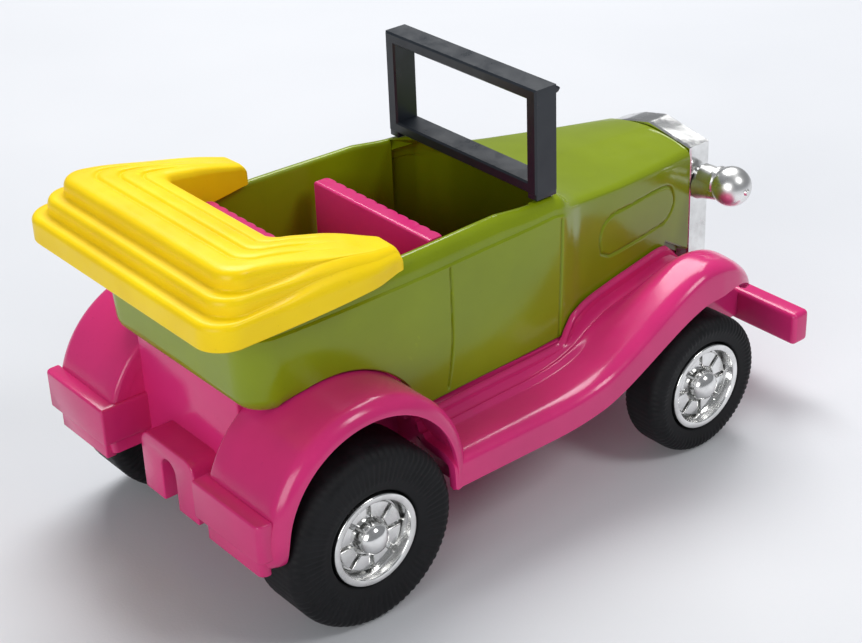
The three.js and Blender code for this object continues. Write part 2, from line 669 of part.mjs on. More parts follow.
function makeTop() {
  // Outer and inner edges from the end of an arm to the middle of the rear, on the left side
  const rear = -TOP_OVERHANG;
  const r = TOP_CORNER_R;
  const outer = [
    [TOP_ARM_REACH, TOP_ARM_HALF_W - 1.2],
    [TOP_ARM_REACH - 1.2, TOP_ARM_HALF_W],
    [TOP_ARM_REACH / 2, (TOP_ARM_HALF_W + TOP_REAR_HALF_W) / 2 + 0.6],
    [rear / 3, TOP_REAR_HALF_W - 0.2],
    ...arc(rear + r, TOP_REAR_HALF_W - r, r, Math.PI / 2, Math.PI, 5),
    [rear, 0.4 * TOP_REAR_HALF_W],
  ];
  const inX = -TOP_INNER_X;
  const inY = TOP_INNER_HALF_W;
  const armInner = TOP_ARM_HALF_W - TOP_ARM_W;
  const inner = [
    [TOP_ARM_REACH, armInner + 0.8],
    [TOP_ARM_REACH - 0.6, armInner],
    [TOP_ARM_REACH / 2, (armInner + inY) / 2 + 0.4],
    [inX + 3, inY],
    ...arc(inX + 2, inY - 2, 2, Math.PI / 2, Math.PI, 5),
    [inX, 0.4 * TOP_REAR_HALF_W - 2],
  ];
  // Height over the body's rim: full at the rear, then straight down to the ends of the arms
  const height = bent([[-TOP_OVERHANG, TOP_H], [-TOP_LEVEL_X, TOP_H], [TOP_ARM_REACH, TOP_ARM_H]]);
  // Stepped folds at the rear turn into plain arms. Each point has its share of the way from the
  // outer to the inner edge, and its share of the height at the rear and at the ends of the arms.
  const profile = [
    [0, 0, 0], [0.004, 0.36, 0.42], [0.03, 0.43, 0.58], [0.12, 0.46, 0.74], [0.13, 0.64, 0.77], [0.16, 0.7, 0.83],
    [0.25, 0.73, 0.96], [0.265, 0.9, 0.98], [0.31, 0.985, 1], [0.45, 1, 1], [0.48, 0.955, 1], [0.51, 0.985, 1],
    [0.62, 0.965, 1], [0.65, 0.915, 1], [0.68, 0.94, 1], [0.8, 0.9, 0.99], [0.83, 0.86, 0.98], [0.86, 0.875, 0.97],
    [0.97, 0.8, 0.86], [1, 0.68, 0.7], [1, 0, 0],
  ];
  const ring = (o, i, side) => {
    const x = (o[0] + i[0]) / 2;
    const plain = THREE.MathUtils.smoothstep(x, -3 * TOP_INNER_X, TOP_ARM_REACH / 2);
    return profile.map(([f, fold, arm]) => new THREE.Vector3(
      o[0] + f * (i[0] - o[0]),
      side * (o[1] + f * (i[1] - o[1])),
      topZ + (fold + plain * (arm - fold)) * height(x),
    )).reverse();
  };
  const left = outer.map((o, k) => ring(o, inner[k], 1));
  const right = outer.map((o, k) => ring(o, inner[k], -1));
  // The hoop turns half round, so both its end faces look forward
  const hoop = loft([...left, ...right.reverse()], (p) => new THREE.Vector2(-Math.abs(p.y), p.z));
  const ribX = -BODY_OVERHANG + WALL + 2 * FIT;
  const ribHalf = bodyHalf(ribX) - RIM_W - FIT;
  const rib = box(ribX, ribX + TOP_RIB_T, -ribHalf, ribHalf, topZ - TOP_RIB_H, topZ + 1);
  return hoop.add(rib);
}

function makeWindshield() {
  const x1 = cowlX;
  const x0 = cowlX - FRAME_T;
  const w = FRAME_HALF_W;
  const top = frameZ + FRAME_H;
  const bottom = frameZ + BOTTOM_BAR_RAISE;
  const pegX = cowlX - FRAME_T / 2;
  const pegY = w - POST_W;
  const peg = PEG / 2;
  return join(
    boxPair(x0, x1, w - POST_W, w, frameZ, top),
    box(x0, x1, -w, w, top - TOP_BAR, top),
    box(x0, x1, -w, w, bottom, bottom + BOTTOM_BAR),
    boxPair(pegX - peg, pegX + peg, pegY - peg, pegY + peg, frameZ - PEG_L, bottom + 1),
  );
}

function makeGrille() {
  const outline = (inset) => [
    [-GRILLE_HALF_W + inset, GRILLE_BOTTOM + inset],
    [GRILLE_HALF_W - inset, GRILLE_BOTTOM + inset],
    [GRILLE_HALF_W - inset, GRILLE_SIDE_Z - inset],
    [0, GRILLE_PEAK_Z - inset],
    [-GRILLE_HALF_W + inset, GRILLE_SIDE_Z - inset],
  ];
  const front = grilleX + GRILLE_T;
  const alongX = (points, x0, x1) => plateY(points, x0, x1).rotate([0, 0, -90]);
  const shell = alongX(outline(0), grilleX, front);
  const recess = alongX(outline(GRILLE_FRAME), front - GRILLE_RECESS, front + 1);
  const bars = [];
  const span = 2 * (GRILLE_HALF_W - GRILLE_FRAME);
  const pitch = span / (GRILLE_BARS + 1);
  const face = front - GRILLE_RECESS;
  for (let i = 1; i <= GRILLE_BARS; i++) {
    const y = -span / 2 + i * pitch;
    bars.push(box(face - 0.5, face + 0.8, y - 0.35, y + 0.35, GRILLE_BOTTOM + 1, GRILLE_SIDE_Z - 1));
  }
  const pegs = [-1, 1].map((side) =>
    rodX(GRILLE_PEG_R, hoodX - WALL, grilleX + 1, side * GRILLE_PEG_Y, GRILLE_PEG_Z),
  );
  const lampX = grilleX + GRILLE_T / 2;
  const sockets = [-1, 1].map((side) => {
    const deep = GRILLE_HALF_W - LAMP_PEG_L - FIT;
    const y0 = side > 0 ? deep : -GRILLE_HALF_W - 1;
    return rodY(LAMP_PEG_R + FIT, y0, y0 + LAMP_PEG_L + FIT + 1, lampX, LAMP_Z, 16);
  });
  const whole = join(shell.subtract(recess), ...bars, ...pegs);
  return sockets.reduce((made, hole) => made.subtract(hole), whole);
}

// Ball headlight on a stub, with a small nub on its outer pole, turned about Y.
function makeLamp() {
  const seat = GRILLE_HALF_W + FIT;
  const stubEnd = LAMP_Y - Math.sqrt(LAMP_R ** 2 - LAMP_STUB_R ** 2);
  const from = Math.asin((stubEnd + 1.1 - LAMP_Y) / LAMP_R);
  const ball = arc(0, LAMP_Y, LAMP_R, from, Math.PI / 2 - 0.2, 6);
  const profile = [
    [0, seat - LAMP_PEG_L],
    [LAMP_PEG_R, seat - LAMP_PEG_L],
    [LAMP_PEG_R, seat],
    [LAMP_STUB_R, seat],
    [LAMP_STUB_R * 0.85, (seat + stubEnd) / 2],
    [LAMP_STUB_R, stubEnd],
    [LAMP_R * 0.82, stubEnd],
    [LAMP_R * 0.82, stubEnd + 0.9],
    ...ball,
    [0.6, LAMP_Y + LAMP_R - 0.1],
    [0.6, LAMP_Y + LAMP_R + 0.5],
    [0, LAMP_Y + LAMP_R + 0.5],
  ];
  return turned(profile, 16);
}

// Tyre turned about Y, from its inner face at y = 0 to its outer face at y = width.
function makeTyre(radius, width) {
  const bore = INSERT_R + FIT;
  const s = TYRE_SHOULDER;
  const q = Math.PI / 2;
  const profile = [
    [bore, 0.8],
    [bore + 1.2, 0.2],
    ...arc(radius - s, s, s, -q, 0, 2),
    ...arc(radius - s, width - s, s, 0, q, 2),
    [bore + 1.2, width - 0.2],
    [bore, width - 0.8],
    [bore, 0.8],
  ];
  return turned(profile, 32);
}

// Wheel insert turned about Y, with wedge pads on the floor of its dish.
function makeInsert(width) {
  const face = width - 0.2;
  const floor = face - DISH_DEPTH;
  const dishR = INSERT_R - INSERT_LIP;
  const bore = AXLE_R + FIT;
  const q = Math.PI / 2;
  const dome = arc(0, face - 0.9, 1, 0, q, 3).map(([c, s]) => [
    c * HUB_R,
    face - 0.9 + (s - face + 0.9) * HUB_DOME,
  ]);
  const profile = [
    [0, width - AXLE_GRIP],
    [bore, width - AXLE_GRIP],
    [bore, 0],
    [INSERT_R - 1, 0],
    [INSERT_R, 0.8],
    [INSERT_R, face],
    [dishR, face],
    [dishR - 0.6, floor],
    [HUB_R, floor],
    ...dome,
  ].map(([radius, y]) => [Math.max(radius, 0), y]);
  const wheel = turned(profile, 32);
  const wedge = (2 * Math.PI) / PADS;
  const r0 = HUB_R + 0.5;
  const r1 = dishR - 1;
  const pads = [];
  for (let i = 0; i < PADS; i++) {
    const a0 = i * wedge;
    const a1 = a0 + wedge;
    const near = PAD_GAP / 2 / r0;
    const far = PAD_GAP / 2 / r1;
    const outline = [
      [r0 * Math.cos(a0 + near), r0 * Math.sin(a0 + near)],
      [r1 * Math.cos(a0 + far), r1 * Math.sin(a0 + far)],
      [r1 * Math.cos((a0 + a1) / 2), r1 * Math.sin((a0 + a1) / 2)],
      [r1 * Math.cos(a1 - far), r1 * Math.sin(a1 - far)],
      [r0 * Math.cos(a1 - near), r0 * Math.sin(a1 - near)],
    ];
    pads.push(plateY(outline, floor - 0.5, floor + PAD_HEIGHT));
  }
  return join(wheel, ...pads);
}

function makeKeeper(x, z) {
  const top = z - AXLE_R - FIT;
  const y = LUG_Y + LUG_W / 2;
  let plate = box(x - LUG_L / 2, x + LUG_L / 2, -y, y, top - KEEPER_T, top);
  for (const side of [-1, 1]) {
    plate = plate.subtract(rodZ(SCREW_R + FIT, below, above, x + KEEPER_SCREW_AHEAD, side * LUG_Y, 12));
  }
  return plate;
}

// Round-head screw standing upright under a face at height z.
function makeScrew(x, y, z) {
  const seat = z - FIT;
  const head = rodZ(SCREW_HEAD_R, seat - SCREW_HEAD_H, seat, x, y, 12);
  const shank = rodZ(SCREW_R, seat - 0.5, seat + SCREW_L - 1, x, y, 8);
  const slot = box(x - SCREW_HEAD_R, x + SCREW_HEAD_R, y - 0.3, y + 0.3, seat - SCREW_HEAD_H, seat - 0.7);
  return join(head, shank).subtract(slot);
}

// Materials
const GREEN = { color: 0x7d9417, roughness: 0.25, metalness: 0 };
const PINK = { color: 0xcc2f7c, roughness: 0.28, metalness: 0 };
const YELLOW = { color: 0xf6d10c, roughness: 0.4, metalness: 0 };
const SLATE = { color: 0x1b2229, roughness: 0.45, metalness: 0 };
const BRIGHT = { color: 0xd6d6d4, roughness: 0.12, metalness: 1 };
const BLACK = { color: 0x16171a, roughness: 0.75, metalness: 0 };
const STEEL = { color: 0x9a9ca0, roughness: 0.35, metalness: 1 };

const car = new THREE.Group();
car.position.x = (TOP_OVERHANG - bumperX) / 2;

function place(group, name, made, finish) {
  const mesh = new THREE.Mesh(geometryOf(made), new THREE.MeshStandardMaterial(finish));
  mesh.name = name;
  group.add(mesh);
  return mesh;
}

place(car, "body_shell", makeBody(), GREEN);
place(car, "fender_chassis", makeChassis(), PINK);
const seatFoot = FLOOR_Z + FIT;
const frontSeat = makeSeat(
  dashX - SEAT_BEHIND, SEAT_HALF_W, SEAT_HALF_W, seatFoot, CUSHION_Z, CUSHION_Z, SEAT_TOP, SEAT_L,
);
place(car, "front_seat", frontSeat, PINK);
const rearSeatStep = archZ + archR + 2 * FIT;
const rearSeat = makeSeat(
  REAR_SEAT_X, TOP_INNER_HALF_W - 2 * FIT, archInnerY - 2 * FIT, seatFoot, rearSeatStep, REAR_CUSHION_Z,
  REAR_SEAT_TOP, REAR_SEAT_L,
);
place(car, "rear_seat", rearSeat, PINK);
place(car, "folded_top", makeTop(), YELLOW);
place(car, "windshield_frame", makeWindshield(), SLATE);
place(car, "radiator_shell", makeGrille(), BRIGHT);

for (const [side, turn] of [["left", 0], ["right", Math.PI]]) {
  const sign = side === "left" ? 1 : -1;
  for (const [end, x, radius, width] of [
    ["rear", 0, REAR_TYRE_R, REAR_TYRE_W],
    ["front", WHEELBASE, FRONT_TYRE_R, FRONT_TYRE_W],
  ]) {
    const hub = new THREE.Group();
    hub.position.set(x, sign * (wheelY - width), radius);
    hub.rotation.z = turn;
    place(hub, `${end}_tyre_${side}`, makeTyre(radius, width), BLACK);
    place(hub, `${end}_wheel_${side}`, makeInsert(width), BRIGHT);
    car.add(hub);

    const keeperFoot = radius - AXLE_R - FIT - KEEPER_T;
    const screw = makeScrew(x + KEEPER_SCREW_AHEAD, sign * LUG_Y, keeperFoot);
    place(car, `${end}_keeper_screw_${side}`, screw, STEEL);
  }
  const hoodScrew = makeScrew(WHEELBASE - BOSS_BEHIND, sign * BOSS_Y, FLOOR_Z - WALL);
  place(car, `front_body_screw_${side}`, hoodScrew, STEEL);
  const shelfScrew = makeScrew(-REAR_BOSS_SETBACK, sign * REAR_BOSS_Y, shelfZ - WALL);
  place(car, `rear_body_screw_${side}`, shelfScrew, STEEL);
}

// Only the right headlight is on the car: the left one is lost and its socket is empty
const lamp = place(car, "headlight_right", makeLamp(), BRIGHT);
lamp.position.set(grilleX + GRILLE_T / 2, 0, LAMP_Z);
lamp.rotation.z = Math.PI;

for (const [end, x, radius] of [["rear", 0, REAR_TYRE_R], ["front", WHEELBASE, FRONT_TYRE_R]]) {
  const reach = wheelY - AXLE_GRIP - FIT;
  place(car, `${end}_axle`, rodY(AXLE_R, -reach, reach, x, radius, 20), STEEL);
  place(car, `${end}_axle_keeper`, makeKeeper(x, radius), PINK);
}

const hotRod = new THREE.Group();
hotRod.add(car);

export default hotRod;
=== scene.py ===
"""Visual model of the toy hot rod: smooth moulded shells, plated trim and ribbed tyres over the CAD frame."""
import math

import bmesh
import bpy
import numpy as np
from mathutils import Matrix, Vector

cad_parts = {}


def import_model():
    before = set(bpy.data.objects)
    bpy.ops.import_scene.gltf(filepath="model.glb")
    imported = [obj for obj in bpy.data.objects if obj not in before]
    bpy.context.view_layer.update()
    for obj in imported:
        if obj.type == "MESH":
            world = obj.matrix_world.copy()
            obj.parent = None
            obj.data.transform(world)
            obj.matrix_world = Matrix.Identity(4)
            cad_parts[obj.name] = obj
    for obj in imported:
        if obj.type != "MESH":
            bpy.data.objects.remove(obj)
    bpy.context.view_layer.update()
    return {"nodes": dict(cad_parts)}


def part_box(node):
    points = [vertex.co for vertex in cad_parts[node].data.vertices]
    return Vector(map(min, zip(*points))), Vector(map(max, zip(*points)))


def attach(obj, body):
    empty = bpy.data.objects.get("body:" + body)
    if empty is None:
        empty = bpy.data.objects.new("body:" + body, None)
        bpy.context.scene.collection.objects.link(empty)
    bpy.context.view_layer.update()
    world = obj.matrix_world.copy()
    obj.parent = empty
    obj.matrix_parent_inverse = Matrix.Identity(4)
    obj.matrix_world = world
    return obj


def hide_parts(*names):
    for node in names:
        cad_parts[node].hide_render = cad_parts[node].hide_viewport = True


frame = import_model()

MM = 0.001


def middle(node):
    """Middle of a node's box, in millimetres."""
    low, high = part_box(node)
    return [(a + b) / 2 / MM for a, b in zip(low, high)]


def reach(node, axis):
    """Largest distance of a node from the middle plane or the origin along an axis, in millimetres."""
    low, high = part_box(node)
    return max(abs(low[axis]), abs(high[axis])) / MM


# Places taken from the frame, in millimetres. Shapes below are written with x = 0 at the rear axle.
REAR_X = middle("rear_axle")[0]
WHEELBASE = middle("front_axle")[0] - REAR_X
REAR_R = middle("rear_axle")[2]
FRONT_R = middle("front_axle")[2]
AXLES = {"rear": (0, REAR_R), "front": (WHEELBASE, FRONT_R)}
TYRE_W = {"rear": 14, "front": 10}
WHEEL_Y = reach("rear_tyre_right", 1)
FENDER_Y = WHEEL_Y - 0.2
FLOOR_Z = 30.3
WALL = 1.8

# Rear fenders
ARCH_X = 0.5
ARCH_Z = REAR_R + 5.5
LIP_R = REAR_R + 0.7
ARCH_R = LIP_R + 3.3
ARCH_INNER_Y = FENDER_Y - 21.2
SKIRT_Z = REAR_R + 2
SKIRT_CORNER = 3.6
SKIRT_RISE = 7

# Body
BODY_REAR = -15.5
COWL_X = WHEELBASE - 26.7
DASH_X = COWL_X - 6.5
HOOD_X = WHEELBASE + 19.6
CORNER_R = 7
BELT_Z = 58
RIM_Z = 62.2
RIM_W = 3.6
COWL_Z = 61.1
HOOD_Z = 54.6
HOOD_SIDE_Z = 50.8
BODY_GAP = 0.3
ROCKER_Z = FLOOR_Z + BODY_GAP
REAR_FOOT_Z = 43.4
HOOD_FOOT_Z = 30

# Camera of the photograph, in pixels and degrees, with its place in the same millimetres
PHOTO_W = 862
FOCAL_PX = 1874.2
CAM_AZ, CAM_EL, CAM_ROLL = -38.43, 29.17, -2.35
CAM_POS = (-159.57, -256.29, 213.08)
SENSOR_MM = 36


def world(points):
    """Points in the car's millimetres to metres in the shared frame."""
    return (np.asarray(points, float) + [REAR_X, 0, 0]) * MM


def curve(points):
    """Smooth line through (x, value) pairs that never overshoots them, as a function of x."""
    xs, ys = np.array(points, float).T
    h = np.diff(xs)
    d = np.diff(ys) / h
    m = np.concatenate([[d[0]], (d[:-1] + d[1:]) / 2, [d[-1]]])
    for i in range(1, len(d)):
        if d[i - 1] * d[i] <= 0:
            m[i] = 0
        else:
            w1, w2 = 2 * h[i] + h[i - 1], h[i] + 2 * h[i - 1]
            m[i] = (w1 + w2) / (w1 / d[i - 1] + w2 / d[i])

    def at(x):
        x = np.clip(np.asarray(x, float), xs[0], xs[-1])
        i = np.clip(np.searchsorted(xs, x) - 1, 0, len(h) - 1)
        t = (x - xs[i]) / h[i]
        a = (1 + 2 * t) * (1 - t) ** 2 * ys[i] + t * (1 - t) ** 2 * h[i] * m[i]
        return a + t * t * (3 - 2 * t) * ys[i + 1] + t * t * (t - 1) * h[i] * m[i + 1]

    return at


def softened(line, low, high, blur):
    """The same line with its bends rounded off over a length of blur."""
    step = 0.25
    xs = np.arange(low, high, step)
    kernel = np.exp(-(np.arange(-4 * blur, 4 * blur, step) / blur) ** 2 / 2)
    pad = len(kernel)
    ys = np.pad(line(xs), pad, mode="edge")
    soft = np.convolve(ys, kernel / kernel.sum(), mode="same")[pad:-pad]
    return lambda x: np.interp(x, xs, soft)


def resample(points, count):
    """Round line through control points, as count points spread evenly along its first two columns.
    A list of counts gives the steps between each control point and the next instead."""
    p = np.array(points, float)
    s = np.concatenate([[0], np.cumsum(np.linalg.norm(np.diff(p[:, :2], axis=0), axis=1))])
    if np.ndim(count):
        steps = [np.linspace(a, b, n, endpoint=False) for a, b, n in zip(s, s[1:], count)]
        fine = np.concatenate(steps + [s[-1:]])
    else:
        fine = np.linspace(0, s[-1], count)
    return np.stack([curve(np.c_[s, column])(fine) for column in p.T], axis=1)


def arc(cx, cy, r, start, end, count):
    """Points along a circle about (cx, cy), between two angles in degrees."""
    a = np.radians(np.linspace(start, end, count))
    return np.stack([cx + r * np.cos(a), cy + r * np.sin(a)], axis=1)


def full_turn(count):
    """Angles round a circle in equal steps."""
    return np.linspace(0, 2 * np.pi, count, endpoint=False)


def stations(*spans):
    """Places along a line, from (start, end, count) spans that share their ends."""
    parts = [np.linspace(*span)[:-1] for span in spans[:-1]]
    return np.concatenate(parts + [np.linspace(*spans[-1])])


def normals(line):
    """Unit normals along a line of 2-D points, to the right of its direction."""
    step = np.gradient(line, axis=0)
    normal = np.stack([step[:, 1], -step[:, 0]], axis=1)
    return normal / np.linalg.norm(normal, axis=1)[:, None]


# Edges flatter than this stay unbevelled, in degrees; points nearer than these are one, in metres
BEVEL_ANGLE = 25
SAME_POINT = 1e-7
NO_LENGTH = 1e-8


class Shell:
    """Collects grids, plates and blocks, in car millimetres, into one mesh object."""

    def __init__(self):
        self.bm = bmesh.new()

    def grid(self, points, close_u=False, close_v=False, flip=False):
        """Faces between neighbours in rows of points."""
        p = world(points)
        nu, nv = p.shape[:2]
        verts = [self.bm.verts.new(c) for c in p.reshape(-1, 3)]
        for i in range(nu if close_u else nu - 1):
            for j in range(nv if close_v else nv - 1):
                k = (i + 1) % nu
                n = (j + 1) % nv
                loop = [verts[i * nv + j], verts[i * nv + n], verts[k * nv + n], verts[k * nv + j]]
                if flip:
                    loop.reverse()
                self.bm.faces.new(loop)
        return verts

    def loft(self, rings):
        """Closed tube through rings of points, with both ends filled."""
        rings = np.asarray(rings, float)
        count = rings.shape[1]
        verts = self.grid(rings, close_v=True)
        self.bm.faces.new(verts[:count][::-1])
        self.bm.faces.new(verts[-count:])

    def prism(self, outline, axis, low, high, bevel=0.0, segments=3):
        """Outline in two axes pushed along the third, with rounded edges."""
        spare = [a for a in range(3) if a != axis]
        ends = []
        for level in (low, high):
            p = np.zeros((len(outline), 3))
            p[:, spare] = outline
            p[:, axis] = level
            ends.append([self.bm.verts.new(c) for c in world(p)])
        count = len(outline)
        faces = [self.bm.faces.new(ends[0]), self.bm.faces.new(ends[1][::-1])]
        for i in range(count):
            k = (i + 1) % count
            faces.append(self.bm.faces.new([ends[0][k], ends[0][i], ends[1][i], ends[1][k]]))
        bmesh.ops.recalc_face_normals(self.bm, faces=faces)
        if bevel:
            edges = {e for f in faces for e in f.edges if e.calc_face_angle(0) > math.radians(BEVEL_ANGLE)}
            bmesh.ops.bevel(
                self.bm, geom=list(edges), offset=bevel * MM, segments=segments, profile=0.5, affect="EDGES",
                clamp_overlap=True,
            )

    def block(self, x, y, z, bevel):
        """Box between two values on each axis."""
        corners = [(x[0], y[0]), (x[1], y[0]), (x[1], y[1]), (x[0], y[1])]
        self.prism(corners, 2, z[0], z[1], bevel)

    def both(self, x, y, z, bevel):
        """The same box on the left and on the right."""
        self.block(x, y, z, bevel)
        self.block(x, (-y[1], -y[0]), z, bevel)

    def lathe(self, profile, centre, axis_sign, sides):
        """Profile of (radius, y) points turned about a line along Y through centre."""
        a = full_turn(sides)
        p = np.asarray(profile, float)
        ring = np.zeros((sides, len(p), 3))
        ring[:, :, 0] = centre[0] + np.cos(a)[:, None] * p[:, 0]
        ring[:, :, 1] = centre[1] + axis_sign * p[:, 1]
        ring[:, :, 2] = centre[2] + np.sin(a)[:, None] * p[:, 0]
        self.grid(ring, close_u=True)

    def done(self, name, material, body="car", sharp=38, replaces=()):
        """Joins the faces into a piece; edges that turn by more than sharp degrees stay crisp."""
        bmesh.ops.remove_doubles(self.bm, verts=self.bm.verts[:], dist=SAME_POINT)
        bmesh.ops.dissolve_degenerate(self.bm, edges=self.bm.edges[:], dist=NO_LENGTH)
        bmesh.ops.recalc_face_normals(self.bm, faces=self.bm.faces[:])
        for f in self.bm.faces:
            f.smooth = True
        for e in self.bm.edges:
            e.smooth = len(e.link_faces) == 2 and e.calc_face_angle(0) < math.radians(sharp)
        mesh = bpy.data.meshes.new(name)
        self.bm.to_mesh(mesh)
        self.bm.free()
        piece = bpy.data.objects.new(name, mesh)
        bpy.context.collection.objects.link(piece)
        mesh.materials.append(material)
        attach(piece, body)
        if replaces:
            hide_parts(*replaces)


# Materials

def node_material(name):
    """New material with its tree, its shader and the place on the piece."""
    material = bpy.data.materials.new(name)
    material.use_nodes = True
    tree = material.node_tree
    shader = tree.nodes["Principled BSDF"]
    place = tree.nodes.new("ShaderNodeTexCoord")
    return material, tree, shader, place.outputs["Object"]


def noise(tree, place, scale, detail, roughness=0.55):
    """Cloudy pattern between 0 and 1."""
    node = tree.nodes.new("ShaderNodeTexNoise")
    node.inputs["Scale"].default_value = scale
    node.inputs["Detail"].default_value = detail
    node.inputs["Roughness"].default_value = roughness
    tree.links.new(place, node.inputs["Vector"])
    return node.outputs["Fac"]


def ramp(tree, fac, stops):
    """Colour that runs between two (place, colour) stops."""
    node = tree.nodes.new("ShaderNodeValToRGB")
    for element, (at, colour) in zip(node.color_ramp.elements, stops):
        element.position = at
        element.color = (*colour, 1)
    tree.links.new(fac, node.inputs["Fac"])
    return node.outputs["Color"]


def spread(tree, fac, low, high, from_low=0.3, from_high=0.7):
    """A pattern stretched to run from low to high."""
    node = tree.nodes.new("ShaderNodeMapRange")
    node.inputs["From Min"].default_value = from_low
    node.inputs["From Max"].default_value = from_high
    node.inputs["To Min"].default_value = low
    node.inputs["To Max"].default_value = high
    tree.links.new(fac, node.inputs["Value"])
    return node.outputs["Result"]


def mixed(tree, fac, a, colour):
    """Blend from a pattern's colour to a fixed one."""
    node = tree.nodes.new("ShaderNodeMix")
    node.data_type = "RGBA"
    tree.links.new(fac, node.inputs["Factor"])
    tree.links.new(a, node.inputs["A"])
    node.inputs["B"].default_value = (*colour, 1)
    return node.outputs["Result"]


def bump(tree, shader, height, strength, distance):
    """Fine relief on the shader's surface, with its depth in metres."""
    node = tree.nodes.new("ShaderNodeBump")
    node.inputs["Strength"].default_value = strength
    node.inputs["Distance"].default_value = distance
    tree.links.new(height, node.inputs["Height"])
    tree.links.new(node.outputs["Normal"], shader.inputs["Normal"])


def scaled(colour, k):
    """Lighter or darker version of a colour."""
    return tuple(min(c * k, 1) for c in colour)


# Depth of the fine relief and reach of light in the plastic, in metres
SKIN_DEPTH = 0.0002
GLOW_REACH = (0.004, 0.003, 0.002)
PLASTIC_IOR = 1.5


def moulded_plastic(name, colour, gloss, peel, subsurface=0.0, shine=0.5):
    """Moulded plastic: cloudy pigment, dark specks, paler edges, scuffs and a faint orange peel."""
    material, tree, shader, place = node_material(name)
    cloud = noise(tree, place, scale=55, detail=3)
    tone = ramp(tree, cloud, [(0.3, scaled(colour, 0.92)), (0.7, scaled(colour, 1.07))])
    specks = noise(tree, place, scale=1400, detail=2)
    tone = mixed(tree, spread(tree, specks, 0, 0.35, 0.66, 0.78), tone, scaled(colour, 0.72))
    edge = tree.nodes.new("ShaderNodeNewGeometry").outputs["Pointiness"]
    tone = mixed(tree, spread(tree, edge, 0, 0.3, 0.53, 0.6), tone, scaled(colour, 1.35))
    tree.links.new(tone, shader.inputs["Base Color"])
    scuff = noise(tree, place, scale=210, detail=8, roughness=0.7)
    tree.links.new(spread(tree, scuff, gloss * 0.8, gloss * 1.5, 0.35, 0.75), shader.inputs["Roughness"])
    bump(tree, shader, noise(tree, place, scale=520, detail=3), peel, SKIN_DEPTH)
    shader.inputs["IOR"].default_value = PLASTIC_IOR
    shader.inputs["Specular IOR Level"].default_value = shine
    shader.inputs["Subsurface Weight"].default_value = subsurface
    shader.inputs["Subsurface Radius"].default_value = GLOW_REACH
    return material


def bright_plating(name, dull, clean):
    """Metallised plastic: a mirror with slight ripples, smudges and a few dull spots."""
    material, tree, shader, place = node_material(name)
    smudge = noise(tree, place, scale=160, detail=6, roughness=0.65)
    tone = ramp(tree, smudge, [(0.3, (0.62, 0.62, 0.61)), (0.62, (0.86, 0.86, 0.85))])
    tree.links.new(tone, shader.inputs["Base Color"])
    tree.links.new(spread(tree, smudge, dull, clean, 0.35, 0.6), shader.inputs["Roughness"])
    shader.inputs["Metallic"].default_value = 1
    bump(tree, shader, noise(tree, place, scale=330, detail=2), 0.12, SKIN_DEPTH)
    return material


def tyre_plastic():
    """Dull black moulding with dust in its ribs."""
    material, tree, shader, place = node_material("tyre_black")
    dust = noise(tree, place, scale=240, detail=7, roughness=0.7)
    tone = ramp(tree, dust, [(0.35, (0.004, 0.0042, 0.005)), (0.8, (0.014, 0.014, 0.016))])
    tree.links.new(tone, shader.inputs["Base Color"])
    tree.links.new(spread(tree, dust, 0.5, 0.72), shader.inputs["Roughness"])
    shader.inputs["Specular IOR Level"].default_value = 0.22
    bump(tree, shader, noise(tree, place, scale=1500, detail=4), 0.12, SKIN_DEPTH)
    return material


def plain_steel():
    """Drawn rod and screw steel with fine lines."""
    material, tree, shader, place = node_material("plain_steel")
    lines = noise(tree, place, scale=900, detail=5)
    tone = ramp(tree, lines, [(0.3, (0.3, 0.3, 0.31)), (0.7, (0.55, 0.55, 0.56))])
    tree.links.new(tone, shader.inputs["Base Color"])
    tree.links.new(spread(tree, lines, 0.25, 0.42), shader.inputs["Roughness"])
    shader.inputs["Metallic"].default_value = 1
    bump(tree, shader, lines, 0.1, SKIN_DEPTH / 2)
    return material


GREEN = moulded_plastic("green_plastic", (0.215, 0.285, 0.004), gloss=0.17, peel=0.035, shine=0.36)
PINK = moulded_plastic(
    "pink_plastic", (0.62, 0.026, 0.17), gloss=0.17, peel=0.035, subsurface=0.05, shine=0.45,
)
YELLOW = moulded_plastic(
    "yellow_plastic", (0.98, 0.67, 0.003), gloss=0.36, peel=0.06, subsurface=0.08, shine=0.25,
)
SLATE = moulded_plastic("slate_plastic", (0.008, 0.012, 0.018), gloss=0.34, peel=0.06)
BRIGHT = bright_plating("bright_plating", dull=0.3, clean=0.12)
WORN = bright_plating("worn_plating", dull=0.42, clean=0.27)
TYRE = tyre_plastic()
STEEL = plain_steel()


# Body shell: half width at the belt, then heights of the belt, the upper edge and the crown along the car
belt_half = curve([
    (BODY_REAR, 24.8), (0, 25.4), (17, 25.4), (35, 24.7), (COWL_X, 23.4), (COWL_X + 3.5, 22.1),
    (COWL_X + 8, 20.1), (WHEELBASE - 4, 17.3), (HOOD_X, 12.5),
])
belt_line = curve([(COWL_X - 2, BELT_Z), (COWL_X + 8, 55.6), (COWL_X + 20, 54.0), (HOOD_X, HOOD_SIDE_Z)])
edge_line = curve([
    (DASH_X - 9, RIM_Z), (COWL_X - 6, COWL_Z), (COWL_X, COWL_Z - 0.1), (COWL_X + 4, 58.5),
    (COWL_X + 8, 57.2), (COWL_X + 20, 55.4), (HOOD_X, 53.2),
])
crown_line = curve([
    (DASH_X - 9, RIM_Z), (COWL_X - 6, COWL_Z), (COWL_X, COWL_Z - 0.1), (COWL_X + 4, 59.0),
    (COWL_X + 12, 57.0), (COWL_X + 22, 56.1), (HOOD_X, HOOD_Z),
])
